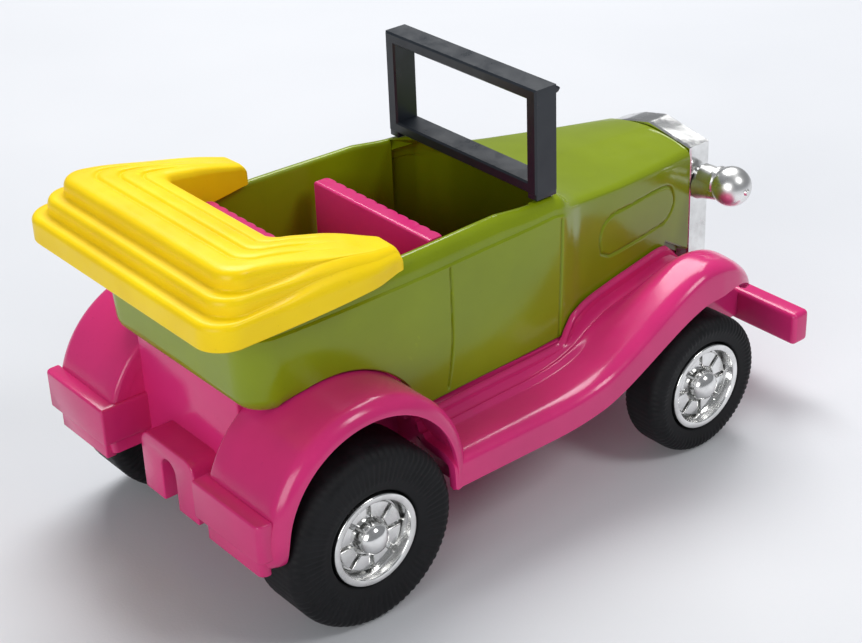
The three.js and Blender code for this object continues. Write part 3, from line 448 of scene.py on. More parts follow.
# The crease under the rim fades out at the cowl; the sides tuck in towards the foot
crease = curve([(COWL_X - 1, 1), (COWL_X + 3, 0)])
tuck = curve([(BODY_REAR, 1.6), (5, 1.3), (COWL_X, 1.0), (COWL_X + 8, 0.1), (HOOD_X, 0)])
SIDE_ROWS = 90
EDGE_ROWS = 16
EDGE_INSET = 2.5
CREASE_STEP = 0.42
UNDER_RISE = 2.6
UNDER_INSET = 1.7

# Engraved lines on the body sides: door edges and the hood's side panel, as (x, z) points
DOOR_REAR = resample([(29, BELT_Z - 0.9), (29.2, 50), (29.4, 42), (29.0, 36.5), (28.4, 32)], 40)
DOOR_FRONT = np.array([(COWL_X - 0.2, z) for z in np.linspace(ROCKER_Z, BELT_Z - 1.5, 40)])
HOOD_PANEL = resample([
    (73.0, 42.2), (72.4, 45.4), (73.8, 48.4), (77.2, 49.5), (82, 49.2), (88.9, 48.9), (95.4, 48.2),
    (97.6, 46.8), (98.5, 43.9), (97.1, 41.4), (94.3, 40.2), (88.2, 40.2), (82.3, 40.4), (76.1, 40.7),
    (73.0, 42.2),
], 120)
GROOVE_DEPTH = 0.42
GROOVE_W = 0.24
GROOVE_REACH = 1.5

# The cowl's rear edge: how far it draws back and how thick it is
LIP_BACK = 5
LIP_T = 0.8


def groove(x, z):
    """Depth of the engraved lines at a place on the side."""
    depth = np.zeros_like(x)
    for line in (DOOR_REAR, DOOR_FRONT, HOOD_PANEL):
        low, high = line.min(axis=0) - GROOVE_REACH, line.max(axis=0) + GROOVE_REACH
        near = (x > low[0]) & (x < high[0]) & (z > low[1]) & (z < high[1])
        if not near.any():
            continue
        q = np.stack([x[near], z[near]], axis=1)
        a, b = line[:-1], line[1:]
        ab = b - a
        t = ((q[:, None] - a) * ab).sum(2) / (ab ** 2).sum(1)
        foot = a + np.clip(t, 0, 1)[..., None] * ab
        d = np.linalg.norm(q[:, None] - foot, axis=2).min(axis=1)
        depth[near] = np.maximum(depth[near], GROOVE_DEPTH * np.exp(-((d / GROOVE_W) ** 2)))
    return depth


def foot_line(x):
    """Lower edge of the body: level at the rear, over the fender, then along the running board."""
    r = ARCH_R + BODY_GAP
    span = np.clip(r * r - (np.asarray(x) - ARCH_X) ** 2, 0, None)
    arch = ARCH_Z + np.sqrt(span)
    behind = np.asarray(x) < ARCH_X
    # A slot opens under the front end of the hood
    slot_x = [HOOD_X - 10.6, HOOD_X - 8.8, HOOD_X]
    rocker = np.interp(x, slot_x, [ROCKER_Z, HOOD_FOOT_Z + 5.5, HOOD_FOOT_Z])
    ahead = np.maximum(rocker, np.where(span > 0, arch, 0))
    return np.where(behind, np.maximum(REAR_FOOT_Z, arch), ahead)


def side_profile(x):
    """(inset from the belt outline, z) up the outside of the body at x, from the foot to the rim."""
    foot = float(foot_line(x))
    belt, edge = float(belt_line(x)), float(edge_line(x))
    h = edge - belt
    z = np.linspace(foot + 0.35, belt - 0.35, SIDE_ROWS)
    lean = float(tuck(x)) * np.clip((belt - z) / (BELT_Z - ROCKER_Z), 0, 1) ** 1.6
    # Rounded lower edge round the rear
    under = np.clip(1 - (z - foot) / UNDER_RISE, 0, 1)
    lean = lean + UNDER_INSET * np.clip((-4 - x) / 6, 0, 1) * (1 - np.sqrt(1 - under ** 2))
    low = np.stack([lean, z], axis=1)
    step = CREASE_STEP * float(crease(x))
    upper = resample([
        (0.02 + step, belt + 0.05), (0.1 + step, belt + 0.3 * h), (0.55 + step, belt + 0.62 * h),
        (1.3 + step, belt + 0.87 * h), (EDGE_INSET, edge),
    ], EDGE_ROWS)
    start = np.array([[lean[0] + 0.3, foot]])
    return np.concatenate([start, low, upper])


def rim_inside():
    """(inset, drop below the rim) over the rolled rim and into the cockpit."""
    roll = [(EDGE_INSET + 0.35 * k, 0.02 * k * k) for k in range(1, 3)]
    return np.array(roll + [(RIM_W - 0.25, 0.2), (RIM_W - 0.05, 0.5), (RIM_W, 0.95)])


def tub_outline():
    """Belt outline from the dash, back along the right side, round the rear and forward on the left:
    rows of x, y, inward x, inward y."""
    corner_x = BODY_REAR + CORNER_R
    # Closer stations at the rear door line and where the foot meets the fender's arch
    xs = stations(
        (DASH_X, 30.5, 54), (30.5, 27.2, 24), (27.2, 22.6, 12), (22.6, 19, 20), (19, corner_x, 66),
    )
    right = np.stack([xs, -belt_half(xs), 0 * xs, 0 * xs + 1], axis=1)
    w = float(belt_half(corner_x))
    a = np.radians(np.linspace(-90, -180, 24))[1:]
    turn = np.stack([
        corner_x + CORNER_R * np.cos(a), -(w - CORNER_R) + CORNER_R * np.sin(a), -np.cos(a), -np.sin(a),
    ], axis=1)
    ys = np.linspace(-(w - CORNER_R), 0, 16)[1:]
    rear = np.stack([0 * ys + BODY_REAR, ys, 0 * ys + 1, 0 * ys], axis=1)
    half = np.concatenate([right, turn, rear])
    left = half[:-1][::-1] * [1, -1, 1, -1]
    return np.concatenate([half, left])


def body_shell():
    """Tub with its rolled rim, then the hollow hood and cowl."""
    shell = Shell()
    rows = []
    for x, y, ix, iy in tub_outline():
        p = side_profile(x)
        rim = rim_inside()
        rim = np.stack([rim[:, 0], float(edge_line(x)) - rim[:, 1]], axis=1)
        foot = np.array([[RIM_W, p[0, 1]]])
        ring = np.concatenate([p, rim, foot])
        rows.append(np.stack([x + ix * ring[:, 0], y + iy * ring[:, 0], ring[:, 1]], axis=1))
    tub = np.array(rows)
    sides = slice(1, SIDE_ROWS + 1)
    for i, (*_, iy) in enumerate(tub_outline()):
        # Only the straight sides are engraved
        if abs(iy) > 0.99:
            tub[i, sides, 1] += iy * groove(tub[i, sides, 0], tub[i, sides, 2])
    shell.loft(tub)

    # Hood and cowl, from the dash forward, with closer stations at the front door line and the hood's panel
    xs = stations(
        (DASH_X, COWL_X - 1.5, 14), (COWL_X - 1.5, COWL_X + 1.2, 20), (COWL_X + 1.2, 71.5, 30),
        (71.5, 99.5, 130), (99.5, HOOD_X, 10),
    ).round(4)
    outer, inner = [], []
    across = np.linspace(1, 0, 26)[1:]
    rise = 1 - 0.3 * across - 0.7 * across ** 2
    for x in xs:
        p = side_profile(x)
        w = float(belt_half(x))
        plain = w - p[:, 0]
        y = plain.copy()
        y[sides] -= groove(np.full(SIDE_ROWS, x), p[sides, 1])
        edge, crown = float(edge_line(x)), float(crown_line(x))
        top = np.stack([(w - EDGE_INSET) * across, edge + (crown - edge) * rise], axis=1)
        half = np.concatenate([np.stack([y, p[:, 1]], axis=1), top])
        ring = np.concatenate([half * [-1, 1], half[:-1][::-1]])
        outer.append(np.insert(ring, 0, x, axis=1))
        slim = half - [WALL, WALL]
        slim[:len(plain), 0] = plain - WALL
        slim[len(plain):, 1] += (WALL - LIP_T) * np.clip((COWL_X + 8 - x) / 8, 0, 1)
        slim[:, 0] = np.maximum(slim[:, 0], 0)
        slim[0, 1] = half[0, 1]
        ring = np.concatenate([slim * [-1, 1], slim[:-1][::-1]])
        inner.append(np.insert(ring, 0, min(x, HOOD_X - WALL), axis=1))
    outer, inner = np.array(outer), np.array(inner)
    # The cowl's rear edge draws back under the windshield between the rolled rims
    back = int(np.argmax(xs >= DASH_X + LIP_BACK))
    for rings in (outer, inner):
        lip = np.abs(rings[0, :, 1]) < float(belt_half(DASH_X)) - RIM_W
        rings[:back, lip] = rings[back, lip]
    shell.grid(outer)
    shell.grid(inner, flip=True)
    shell.grid(np.stack([outer[0], inner[0]]))
    for ring in (outer[-1], inner[-1]):
        shell.bm.faces.new([shell.bm.verts.new(c) for c in world(ring)])
    for j in (0, -1):
        shell.grid(np.stack([outer[:, j], inner[:, j]], axis=1))
    shell.done("body_shell_visual", GREEN, replaces=["body_shell"])


# Fenders and chassis: heights along the running board and the front fender, which ends at the nose
BOARD_X = ARCH_X + LIP_R - 4
NOSE_X = WHEELBASE + 20.8
fender_top = softened(curve([
    (BOARD_X, 26.9), (WHEELBASE - 40, 26.9), (WHEELBASE - 29, 28.0), (WHEELBASE - 21.7, 31),
    (WHEELBASE - 12.7, 36), (WHEELBASE - 4.7, 40.1), (WHEELBASE + 1.3, 41.9), (WHEELBASE + 7.3, 40.6),
    (WHEELBASE + 12.3, 37.4), (WHEELBASE + 17.3, 33.0), (NOSE_X, 28.3),
]), BOARD_X, NOSE_X + 0.1, 2.2)
apron_top = curve([
    (COWL_X - 2, FLOOR_Z), (COWL_X - 0.7, 30.6), (COWL_X + 1, 32.7), (COWL_X + 3.8, 34.7),
    (COWL_X + 7, 35.1), (COWL_X + 14, 35.5), (COWL_X + 21, 35.9), (HOOD_X - 14, 36.0),
    (HOOD_X - 10.2, 35.5), (HOOD_X - 7.6, 33.4), (HOOD_X - 1, 27.0), (NOSE_X, 26.6),
])
valley_line = softened(curve([
    (BOARD_X, 27.9), (WHEELBASE - 36, 28.0), (WHEELBASE - 28, 29.2), (WHEELBASE - 20, 31.2),
    (WHEELBASE - 8, 32.4), (WHEELBASE + 6, 32.6), (WHEELBASE + 14, 30.3), (NOSE_X, 26.8),
]), BOARD_X, NOSE_X + 0.1, 2.5)
valley_y = softened(lambda x: belt_half(x) - tuck(x) + 3.2, BOARD_X, NOSE_X + 0.1, 3)
# Steps between the points of the line over the fender, so that its creases keep their rows
FENDER_STEPS = [4, 3, 3, 14, 3, 3, 14, 12, 8, 6, 5, 8]
nose_inset = curve([
    (WHEELBASE + 4, 0), (WHEELBASE + 9, 0.7), (WHEELBASE + 13, 2.2), (WHEELBASE + 17, 4.8), (NOSE_X, 9.5),
])
skirt_depth = curve([(WHEELBASE - 30, 6.6), (WHEELBASE + 2, 7.6), (WHEELBASE + 12, 4), (NOSE_X, 2.4)])


def fender_line(x):
    """(|y|, z) points over the board or fender at x, from the body's foot to the lower edge."""
    inner = float(belt_half(x)) - float(tuck(x)) + 0.4
    outer = FENDER_Y - float(nose_inset(x))
    top = float(fender_top(x))
    low = min(float(valley_line(x)), top + 0.9)
    crown = outer - 7
    dip = min(max(float(valley_y(x)), inner + 1.9), crown - 1)
    apron = max(float(apron_top(x)), 26.4)
    slope = ((dip + crown) / 2, 0.36 * low + 0.64 * top - 0.1)
    return resample([
        (inner, min(FLOOR_Z - 2.2, apron - 1.2)), (inner, apron - 0.4), (inner + 0.35, apron),
        (inner + 1.1, apron - 0.25), (dip - 0.25, low + 0.12), (dip + 0.1, low), (dip + 0.5, low + 0.2),
        slope, (crown, top), (outer - 3.2, top - 0.28), (outer - 1.3, top - 0.95),
        (outer - 0.25, top - 2.2), (outer, top - float(skirt_depth(x))),
    ], FENDER_STEPS)


def thick_ring(line, wall):
    """Closed section: a line of points and its copy one wall further in, with rounded ends."""
    under = line + normals(line) * wall
    tail = line[-1] - line[-2]
    middle_end = (line[-1] + under[-1]) / 2 + tail / np.linalg.norm(tail) * wall * 0.3
    middle_start = (line[0] + under[0]) / 2
    return np.concatenate([line, [middle_end], under[::-1], [middle_start]])


def front_fender(name, side):
    """Running board and front fender in one sweep."""
    shell = Shell()
    xs = stations(
        (ARCH_X + LIP_R - 0.6, COWL_X - 4, 30), (COWL_X - 4, HOOD_X - 10, 52), (HOOD_X - 10, NOSE_X, 34),
    )
    rings = []
    for x in xs:
        ring = thick_ring(fender_line(x), WALL)
        rings.append(np.stack([np.full(len(ring), x), side * ring[:, 0], ring[:, 1]], axis=1))
    shell.loft(rings)
    shell.done(name, PINK, sharp=50)


def rear_fender(name, side):
    """Half-round fender with a rolled outer edge and a flat inner wall."""
    shell = Shell()
    inner_edge = arc(ARCH_R - 1, ARCH_INNER_Y + 1, 1, -90, 0, 5)
    crest = [(ARCH_R, y) for y in np.linspace(20, 32.5, 8)]
    edge_r = ARCH_R - LIP_R
    roll = arc(ARCH_R - edge_r, FENDER_Y - edge_r, edge_r, 0, 82, 12)
    under = ARCH_R - WALL
    line = np.concatenate([
        [(ARCH_R - 3, ARCH_INNER_Y)], inner_edge, crest, roll,
        [(LIP_R + 0.1, FENDER_Y - 0.05), (LIP_R, FENDER_Y - 0.5), (LIP_R + 0.2, FENDER_Y - 1.4)],
        [(under - 0.5, FENDER_Y - 2.6), (under, FENDER_Y - 4), (under, ARCH_INNER_Y + WALL)],
        [(ARCH_R - 3, ARCH_INNER_Y + WALL)],
    ])
    rings = []
    drop = ARCH_Z - SKIRT_Z
    # Closer stations at the rear lower corner
    for t in stations((0, 0.93, 66), (0.93, 1, 18)):
        end = np.arcsin(drop / line[:, 0])
        a = -end + t * (np.pi + 2 * end)
        z = ARCH_Z + line[:, 0] * np.sin(a)
        # The rear lower corner is rounded
        turn = np.clip(1 - (z - SKIRT_Z) / SKIRT_RISE, 0, 1) * (t > 0.5)
        band = np.clip(1 - (FENDER_Y - line[:, 1]) / (2 * SKIRT_CORNER), 0, 1)
        y = line[:, 1] - band * SKIRT_CORNER * (1 - np.sqrt(1 - turn ** 2))
        rings.append(np.stack([ARCH_X + line[:, 0] * np.cos(a), side * y, z], axis=1))
    shell.loft(rings)
    # Flat wall between the wheel and the middle of the car
    r = ARCH_R - 2.9
    a = np.linspace(-math.asin(drop / r), math.pi + math.asin(drop / r), 40)
    plate = np.stack([ARCH_X + r * np.cos(a), ARCH_Z + r * np.sin(a)], axis=1)
    wall = sorted((side * ARCH_INNER_Y, side * (ARCH_INNER_Y + WALL)))
    shell.prism(plate, 1, wall[0], wall[1])
    shell.done(name, PINK, sharp=45)


def chassis_frame():
    """Floor, rear pan, bumper blocks, hitch block, axle lugs and front bumper."""
    shell = Shell()
    pan = -13.2
    half = ARCH_INNER_Y + 0.4
    shelf = ARCH_Z + ARCH_R - 2.4
    # Floor in three widths, then the rear pan and the shelf over it, then the raised panel underneath
    mid = WHEELBASE / 2
    shell.block((pan + 0.6, 30), (-half, half), (FLOOR_Z - WALL, FLOOR_Z), 0.2)
    shell.block((18.6, HOOD_X - 13), (-22.8, 22.8), (FLOOR_Z - WALL + 0.05, FLOOR_Z - 0.05), 0.2)
    shell.block((HOOD_X - 16, HOOD_X - 1), (-10.5, 10.5), (FLOOR_Z - WALL + 0.1, FLOOR_Z - 0.1), 0.2)
    shell.block((pan, pan + WALL), (-half, half), (SKIRT_Z, shelf), 0.3)
    shell.block((pan + 0.1, -3.1), (0.05 - half, half - 0.05), (shelf - WALL, shelf - 0.05), 0.3)
    shell.block((-4.8, -3), (-half, half), (FLOOR_Z - WALL + 0.1, shelf), 0.3)
    shell.block((mid - 15, mid + 15), (-13, 13), (FLOOR_Z - WALL - 0.8, FLOOR_Z - 0.9), 0.3)

    # Bumper blocks, each on a narrower foot
    rear = ARCH_X - ARCH_R - 1.9
    foot = SKIRT_Z + 2.8
    top = SKIRT_Z + 10.7
    wall_x = ARCH_X - ARCH_R + 1.4
    web_y = 17.3
    # The right block's outer end is worn short
    for side, outer in ((-1, FENDER_Y - 1.7), (1, FENDER_Y - 0.7)):
        for level, start, end, inset, bevel in (
            ((foot, top), 15.2, outer, 0, 0.7), ((SKIRT_Z - 1.3, foot + 1), web_y, outer - 1.7, 1.1, 0.35),
        ):
            back = rear + inset
            block = [
                (wall_x, end), (back + 1.2, end), (back + 0.35, end - 0.4), (back, end - 1.2), (back, start),
            ]
            if start < web_y:
                block += [(pan + WALL, start), (pan + WALL, web_y)]
            block.append((wall_x, web_y))
            shell.prism([(x, side * y) for x, y in block], 2, level[0], level[1], bevel, 4)

    # Hitch block with an arched slot
    hitch_top = FLOOR_Z - 1.8
    hitch_foot = hitch_top - 13
    slot = 2.3
    outline = np.concatenate([
        [(9, hitch_foot)], arc(6, hitch_top - 3, 3, 0, 90, 7), arc(-6, hitch_top - 3, 3, 90, 180, 7),
        [(-9, hitch_foot), (-slot, hitch_foot)], arc(0, hitch_foot + 7.6, slot, 180, 0, 15),
        [(slot, hitch_foot)],
    ])
    shell.prism(outline, 0, pan - 6, pan + 1, 0.35)

    # Axle lugs
    for x, z in AXLES.values():
        for near in (x - 7, x + 1.8):
            shell.both((near, near + 5.2), (9, 14), (z - 1.5, FLOOR_Z - 0.9), 0.3)

    # Front bumper on two arms
    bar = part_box("fender_chassis")[1][0] / MM - REAR_X
    low, high = 12.6, 20
    outline = [(bar - 4.7, low), (bar, low), (bar, high), (bar - 4.7, high)]
    shell.prism(outline, 1, -36, 36, 1.1, 5)
    arm = [
        (HOOD_X - 10, FLOOR_Z - 0.9), (HOOD_X - 10, FLOOR_Z - 5.8), (bar - 8.7, low + 1.2),
        (bar - 3.7, low + 1.2), (bar - 3.7, high - 1.2), (HOOD_X, FLOOR_Z - WALL),
        (HOOD_X - 1, FLOOR_Z - 0.9),
    ]
    for side in (-1, 1):
        ends = sorted((side * 15, side * 20))
        shell.prism(arm, 1, ends[0], ends[1], 0.4)
    shell.done("chassis_frame", PINK, replaces=["fender_chassis"])


# Seats
ROLLS = 11


def rolled(ys, half):
    """Height of the seat's rolls across its width: 0 between them and 1 on their crests."""
    pitch = 2 * half / ROLLS
    return np.sqrt(np.clip(1 - (((ys + half) % pitch) / pitch * 2 - 1) ** 2, 0, 1))


def row(x, ys, z):
    """Points across the car, with x and z fixed or given for each."""
    return np.stack([x + 0 * ys, ys, z + 0 * ys], axis=1)


def seat(name, node, base_half, step_z, cushion_z):
    """Seat back that widens above step_z, with rolls down its front, and a cushion."""
    shell = Shell()
    low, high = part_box(node)
    x0 = low[0] / MM - REAR_X
    half = high[1] / MM
    foot, top = low[2] / MM, high[2] / MM
    front = high[0] / MM - REAR_X
    back_t = 3.2
    ys = np.linspace(-half, half, ROLLS * 14 + 1)
    crest = 0.6 + 0.4 * rolled(ys, half)
    soft = 0.6
    bend = top - soft + soft * np.sin(np.linspace(0.2, 1.57, 7))
    heights = np.concatenate([np.linspace(step_z, top - soft, 8), bend])
    face = x0 + back_t - 0.9
    rows = []
    for z in heights:
        over = max(0.0, (z - top + soft) / soft)
        lean = 1 - math.sqrt(max(0.0, 1 - min(over, 1) ** 2))
        rows.append(row(face - soft * lean + 1.5 * crest, ys, z))
    for x, z in ((face - 1.2, top), (x0 + 0.3, top), (x0, top - 0.3), (x0, step_z)):
        rows.append(row(x, ys, z))
    shell.loft(np.array(rows).transpose(1, 0, 2))
    shell.block((x0, x0 + back_t - 0.2), (-base_half, base_half), (foot, step_z + 0.5), 0.3)
    # Cushion with a rolled front edge and the same flutes along its top
    ys = np.linspace(-base_half, base_half, ROLLS * 10 + 1)
    flute = 0.5 * rolled(ys, base_half) - 0.5
    nose_r = 2.5
    line = [(x0 + 1, foot), (x0 + 1, cushion_z - 0.2), (x0 + 6, cushion_z)]
    line += [tuple(p) for p in arc(front - nose_r, cushion_z - nose_r, nose_r, 90, 0, 8)] + [(front, foot)]
    weight = [0] + [1] * 9 + [0.4, 0]
    rings = [row(x, ys, z + k * flute) for (x, z), k in zip(line, weight)]
    shell.loft(np.array(rings).transpose(1, 0, 2))
    shell.done(name, PINK, replaces=[node], sharp=50)


# Folded top

def folded_top():
    """Stepped folds in a U round the back of the cockpit, with plain arms along its sides."""
    shell = Shell()
    z0 = RIM_Z + BODY_GAP
    rear, corner = -25.6, 5.5
    rear_half, arm_half, arm_in, arm_x = 31.3, 27.8, 20.2, 16.6
    in_x, in_y, in_r = -3, 17, 2
    # The arms stop short of arm_x to leave room for their chamfered ends
    out_end, in_end = arm_x - 1.4, arm_x - 1.0
    edge = curve([(rear + corner, rear_half), (-8.5, rear_half - 0.2), (8, 30.0), (out_end, arm_half)])
    inside = curve([(in_x + in_r, in_y), (8, 18.4), (in_end, arm_in)])
    height = curve([(rear, 11.6), (-14, 11.6), (-10, 11.1), (2.4, 8.0), (arm_x, 4.2)])
    plain = curve([(-10, 0), (-5, 0.2), (2, 0.8), (8, 1), (arm_x, 1)])
    count_arm, count_turn, count_rear = 34, 16, 26
    ox = np.linspace(out_end, rear + corner, count_arm)
    outer = [np.stack([ox, edge(ox)], axis=1)]
    ix = np.linspace(in_end, in_x + in_r, count_arm)
    inner = [np.stack([ix, inside(ix)], axis=1)]
    outer.append(arc(rear + corner, rear_half - corner, corner, 90, 180, count_turn)[1:])
    inner.append(arc(in_x + in_r, in_y - in_r, in_r, 90, 180, count_turn)[1:])
    oy = np.linspace(rear_half - corner, 0, count_rear)[1:]
    iy = np.linspace(in_y - in_r, 0, count_rear)[1:]
    outer.append(np.stack([0 * oy + rear, oy], axis=1))
    inner.append(np.stack([0 * iy + in_x, iy], axis=1))
    outer, inner = np.concatenate(outer), np.concatenate(inner)
    # Share of the way inwards, then share of the height where the top is folded and at the plain arm ends:
    # three steps up the outside, three grooves across the top and the drop to the cockpit
    section = resample([
        (0.012, 0, 0), (0, 0.02, 0.02), (0, 0.33, 0.42), (0.012, 0.39, 0.52), (0.04, 0.425, 0.62),
        (0.105, 0.435, 0.75), (0.122, 0.45, 0.78), (0.128, 0.6, 0.8), (0.14, 0.66, 0.83),
        (0.165, 0.695, 0.88), (0.235, 0.705, 0.97), (0.25, 0.72, 0.98), (0.256, 0.86, 0.99),
        (0.27, 0.935, 0.995), (0.305, 0.985, 1), (0.36, 1, 1),
        (0.44, 0.995, 1), (0.468, 0.975, 1), (0.49, 0.94, 1), (0.512, 0.965, 1), (0.55, 0.975, 1),
        (0.61, 0.96, 1), (0.635, 0.94, 1), (0.655, 0.9, 1), (0.675, 0.925, 1), (0.71, 0.935, 1),
        (0.77, 0.915, 1), (0.8, 0.89, 1), (0.82, 0.85, 1), (0.84, 0.872, 0.995), (0.88, 0.868, 0.98),
        (0.95, 0.82, 0.93), (0.985, 0.75, 0.85), (1, 0.67, 0.74), (1, 0.02, 0.02), (0.99, 0, 0),
    ], 200)
    rings = []
    for o, i in zip(outer, inner):
        x = (o[0] + i[0]) / 2
        k = float(plain(x))
        flat = o + section[:, :1] * (i - o)
        lift = (1 - k) * section[:, 1] + k * section[:, 2]
        rings.append(np.column_stack([flat, z0 + lift * float(height(x))]))
    half = np.array(rings)
    # Chamfered end of each arm
    ends = []
    mid_y = half[0][:, 1].mean()
    for ahead, low, narrow in ((0.4, 0.05, 0.01), (0.9, 0.17, 0.04), (1.2, 0.27, 0.08), (1.4, 0.4, 0.15)):
        end = half[0].copy()
        end[:, 0] += ahead
        end[:, 1] = mid_y + (end[:, 1] - mid_y) * (1 - narrow)
        end[:, 2] = z0 + (end[:, 2] - z0) * (1 - low)
        ends.append(end)
    half = np.concatenate([np.array(ends)[::-1], half])
    other = half[:-1][::-1] * [1, -1, 1]
    shell.loft(np.concatenate([half, other]))
    # Rib that plugs into the body behind the rear seat
    rib = BODY_REAR + 2.4
    shell.block((rib, rib + 1.4), (-15, 15), (z0 - 3, z0 + 1), 0.2)
    shell.done("folded_top_visual", YELLOW, replaces=["folded_top"], sharp=60)


# Windshield frame

def windshield():
    """Upright frame on two feet, without a pane."""
    shell = Shell()
    low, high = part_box("windshield_frame")
    x = (low[0] / MM - REAR_X, high[0] / MM - REAR_X)
    w = high[1] / MM
    top = high[2] / MM
    foot = COWL_Z + 0.4
    sill = foot + 1.1
    post, bar = 2.7, 2.3
    opening = [(-w + post, sill + bar), (w - post, sill + bar), (w - post, top - bar), (-w + post, top - bar)]
    frame_line = [(-w, sill), (w, sill), (w, top), (-w, top)]
    rounded = 0.35
    outs, holes = [], []
    for px, cut in ((x[0], rounded), (x[0] + rounded, 0), (x[1] - rounded, 0), (x[1], rounded)):
        outs.append([
            (px, y - math.copysign(cut, y), z - cut if z == top else z + cut) for y, z in frame_line
        ])
        holes.append([
            (px, y + math.copysign(cut, y), z + cut if z == top - bar else z - cut) for y, z in opening
        ])
    for rings in (outs, holes, [outs[0], holes[0]], [outs[-1], holes[-1]]):
        shell.grid(rings, close_v=True)
    shell.both((x[0] + 0.2, x[1] - 0.2), (w - post + 0.05, w - 0.05), (foot, sill + 1), 0.25)
    # Gate stub left at the top front corner on the right
    stub = ((-0.6, 2.1), (0.5, 1.9), (1.1, 1.15), (0.4, 0.7), (-0.6, 0.3))
    tip = [(x[1] + ahead, top - drop) for ahead, drop in stub]
    shell.prism(tip, 1, -w + 0.2, -w + 1.5, 0.3)
    shell.done("windshield_visual", SLATE, replaces=["windshield_frame"], sharp=30)


# Radiator shell and headlight

def radiator():
    """Plated shell with a gabled top, upright grille bars and two pegs at the back."""
    shell = Shell()
    low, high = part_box("radiator_shell")
    front = high[0] / MM - REAR_X
    back = front - 6
    w = high[1] / MM
    foot, peak = low[2] / MM, high[2] / MM
    gable = 2.3
    # (share of the half width, drop below the peak): a straight slope on the right, a rounded one on the left
    straight = [(1, gable), (0.8, 1.84), (0.5, 1.15), (0.03, 0.06)]
    rounded = [(1, 3.9), (0.8, 2.8), (0.5, 1.34), (0.03, 0.06)]

    def outline(inset):
        left, right = (
            [(w - inset, foot + inset)] + [((w - inset) * k, peak - drop - inset) for k, drop in slope]
            for slope in (rounded, straight)
        )
        return left + [(0, peak - inset)] + [(-y, z) for y, z in right[::-1]]

    recess = front - 1.5
    rim = 1.7
    layers = [(back, 0.3), (back + 0.4, 0), (front - 0.6, 0), (front, 0.5), (front, 1.3), (recess, rim)]
    shell.loft([[(x, y, z) for y, z in outline(inset)] for x, inset in layers])
    bars, bar_r, margin = 9, 0.62, 1.2
    for k in range(1, bars + 1):
        y = (2 * k / (bars + 1) - 1) * (w - rim)
        bar_top = peak - gable - margin + 1.9 * (1 - abs(y) / w) - 1.2 * max(y / w, 0) ** 2
        shell.prism(arc(recess, y, bar_r, -90, 90, 7), 2, foot + margin, bar_top)
    peg_r, peg_y, peg_z = 1.2, 6, 44
    for side in (-1, 1):
        ring = [(side * peg_y + peg_r * math.cos(a), peg_z + peg_r * math.sin(a)) for a in full_turn(24)]
        shell.prism(ring, 0, back - 2.1, back + 1)
    shell.done("radiator_visual", BRIGHT, replaces=["radiator_shell"], sharp=32)


def headlight(side, name):
    """Ball with a nub at its end, on a short stub beside the radiator."""
    shell = Shell()
    node = f"headlight_{name}"
    x, _, z = middle(node)
    far = reach(node, 1)
    r = 4.2
    cy = far - r - 0.5
    seat_y = 12.5
    ball = arc(0, cy, r, -42, 82, 40)
    near = cy - r
    stub = [
        (0.0, seat_y - 2.5), (1.3, seat_y - 2.5), (1.3, seat_y + 0.5), (2.55, seat_y + 1),
        (2.65, near + 0.05), (3.1, near + 0.25), (3.25, near + 0.6), (3.2, near + 1.1), (3.0, near + 1.25),
    ]
    nub = [(0.75, cy + r - 0.03), (0.62, cy + r + 0.3), (0.45, cy + r + 0.48), (0, cy + r + 0.5)]
    profile = np.concatenate([stub, ball, nub])
    shell.lathe(profile, (x - REAR_X, 0, z), side, 72)
    # Neck that hangs below the ball's middle and thickens towards the radiator
    a = full_turn(48)
    neck = [
        (seat_y, 3.0, 2.2), (seat_y + 0.3, 3.3, 2.2), (seat_y + 2, 3.05, 1.8), (cy - 2.6, 2.8, 1.2),
        (cy - 1, 2.7, 0.9),
    ]
    rings = []
    for y, neck_r, drop in neck:
        ring_x = x - REAR_X + neck_r * np.cos(a)
        rings.append(np.stack([ring_x, 0 * a + side * y, z - drop + neck_r * np.sin(a)], axis=1))
    shell.loft(rings)
    shell.done(f"headlight_{name}_visual", WORN, replaces=[node], sharp=40)


# Wheels

def tyre(end, name, side):
    """Tyre with fine radial ribs over its tread and sidewalls."""
    x0, z0 = AXLES[end]
    radius, width = z0, TYRE_W[end]
    shell = Shell()
    bore, s = 9.5, 2.6
    ribs, per_rib, rib_height = 76, 5, 0.08
    outer = np.concatenate([
        [(bore, 0.9), (bore + 0.3, 0.45), (bore + 1.3, 0.25)], arc(radius - s, s, s, -90, 0, 10),
        arc(radius - s, width - s, s, 0, 90, 10), [(bore + 2.6, width - 0.02), (bore + 1.3, width - 0.25)],
        [(bore + 0.3, width - 0.45), (bore, width - 0.9)],
    ])
    line = resample(outer, 96)
    a = full_turn(ribs * per_rib)
    normal = normals(line)
    # Ribs fade out at the bore, and a plain band runs round the middle of the tread
    grip = np.clip((line[:, 0] - bore - 1.6) / 1.2, 0, 1)
    tread = np.clip((line[:, 0] - (radius - 0.6)) / 0.4, 0, 1)
    grip = grip * (1 - 0.75 * tread)
    wave = np.clip(np.cos(a * ribs) * 1.6, -1, 1)
    lift = -rib_height + rib_height * wave[:, None] * grip
    r = line[:, 0] + normal[:, 0] * lift
    y = line[:, 1] + normal[:, 1] * lift
    inner = WHEEL_Y - width
    ring = np.stack([x0 + np.cos(a)[:, None] * r, side * (inner + y), z0 + np.sin(a)[:, None] * r], axis=2)
    shell.grid(ring, close_u=True, close_v=True)
    shell.done(f"{end}_tyre_{name}_visual", TYRE, f"{end}_wheels", 60, [f"{end}_tyre_{name}"])


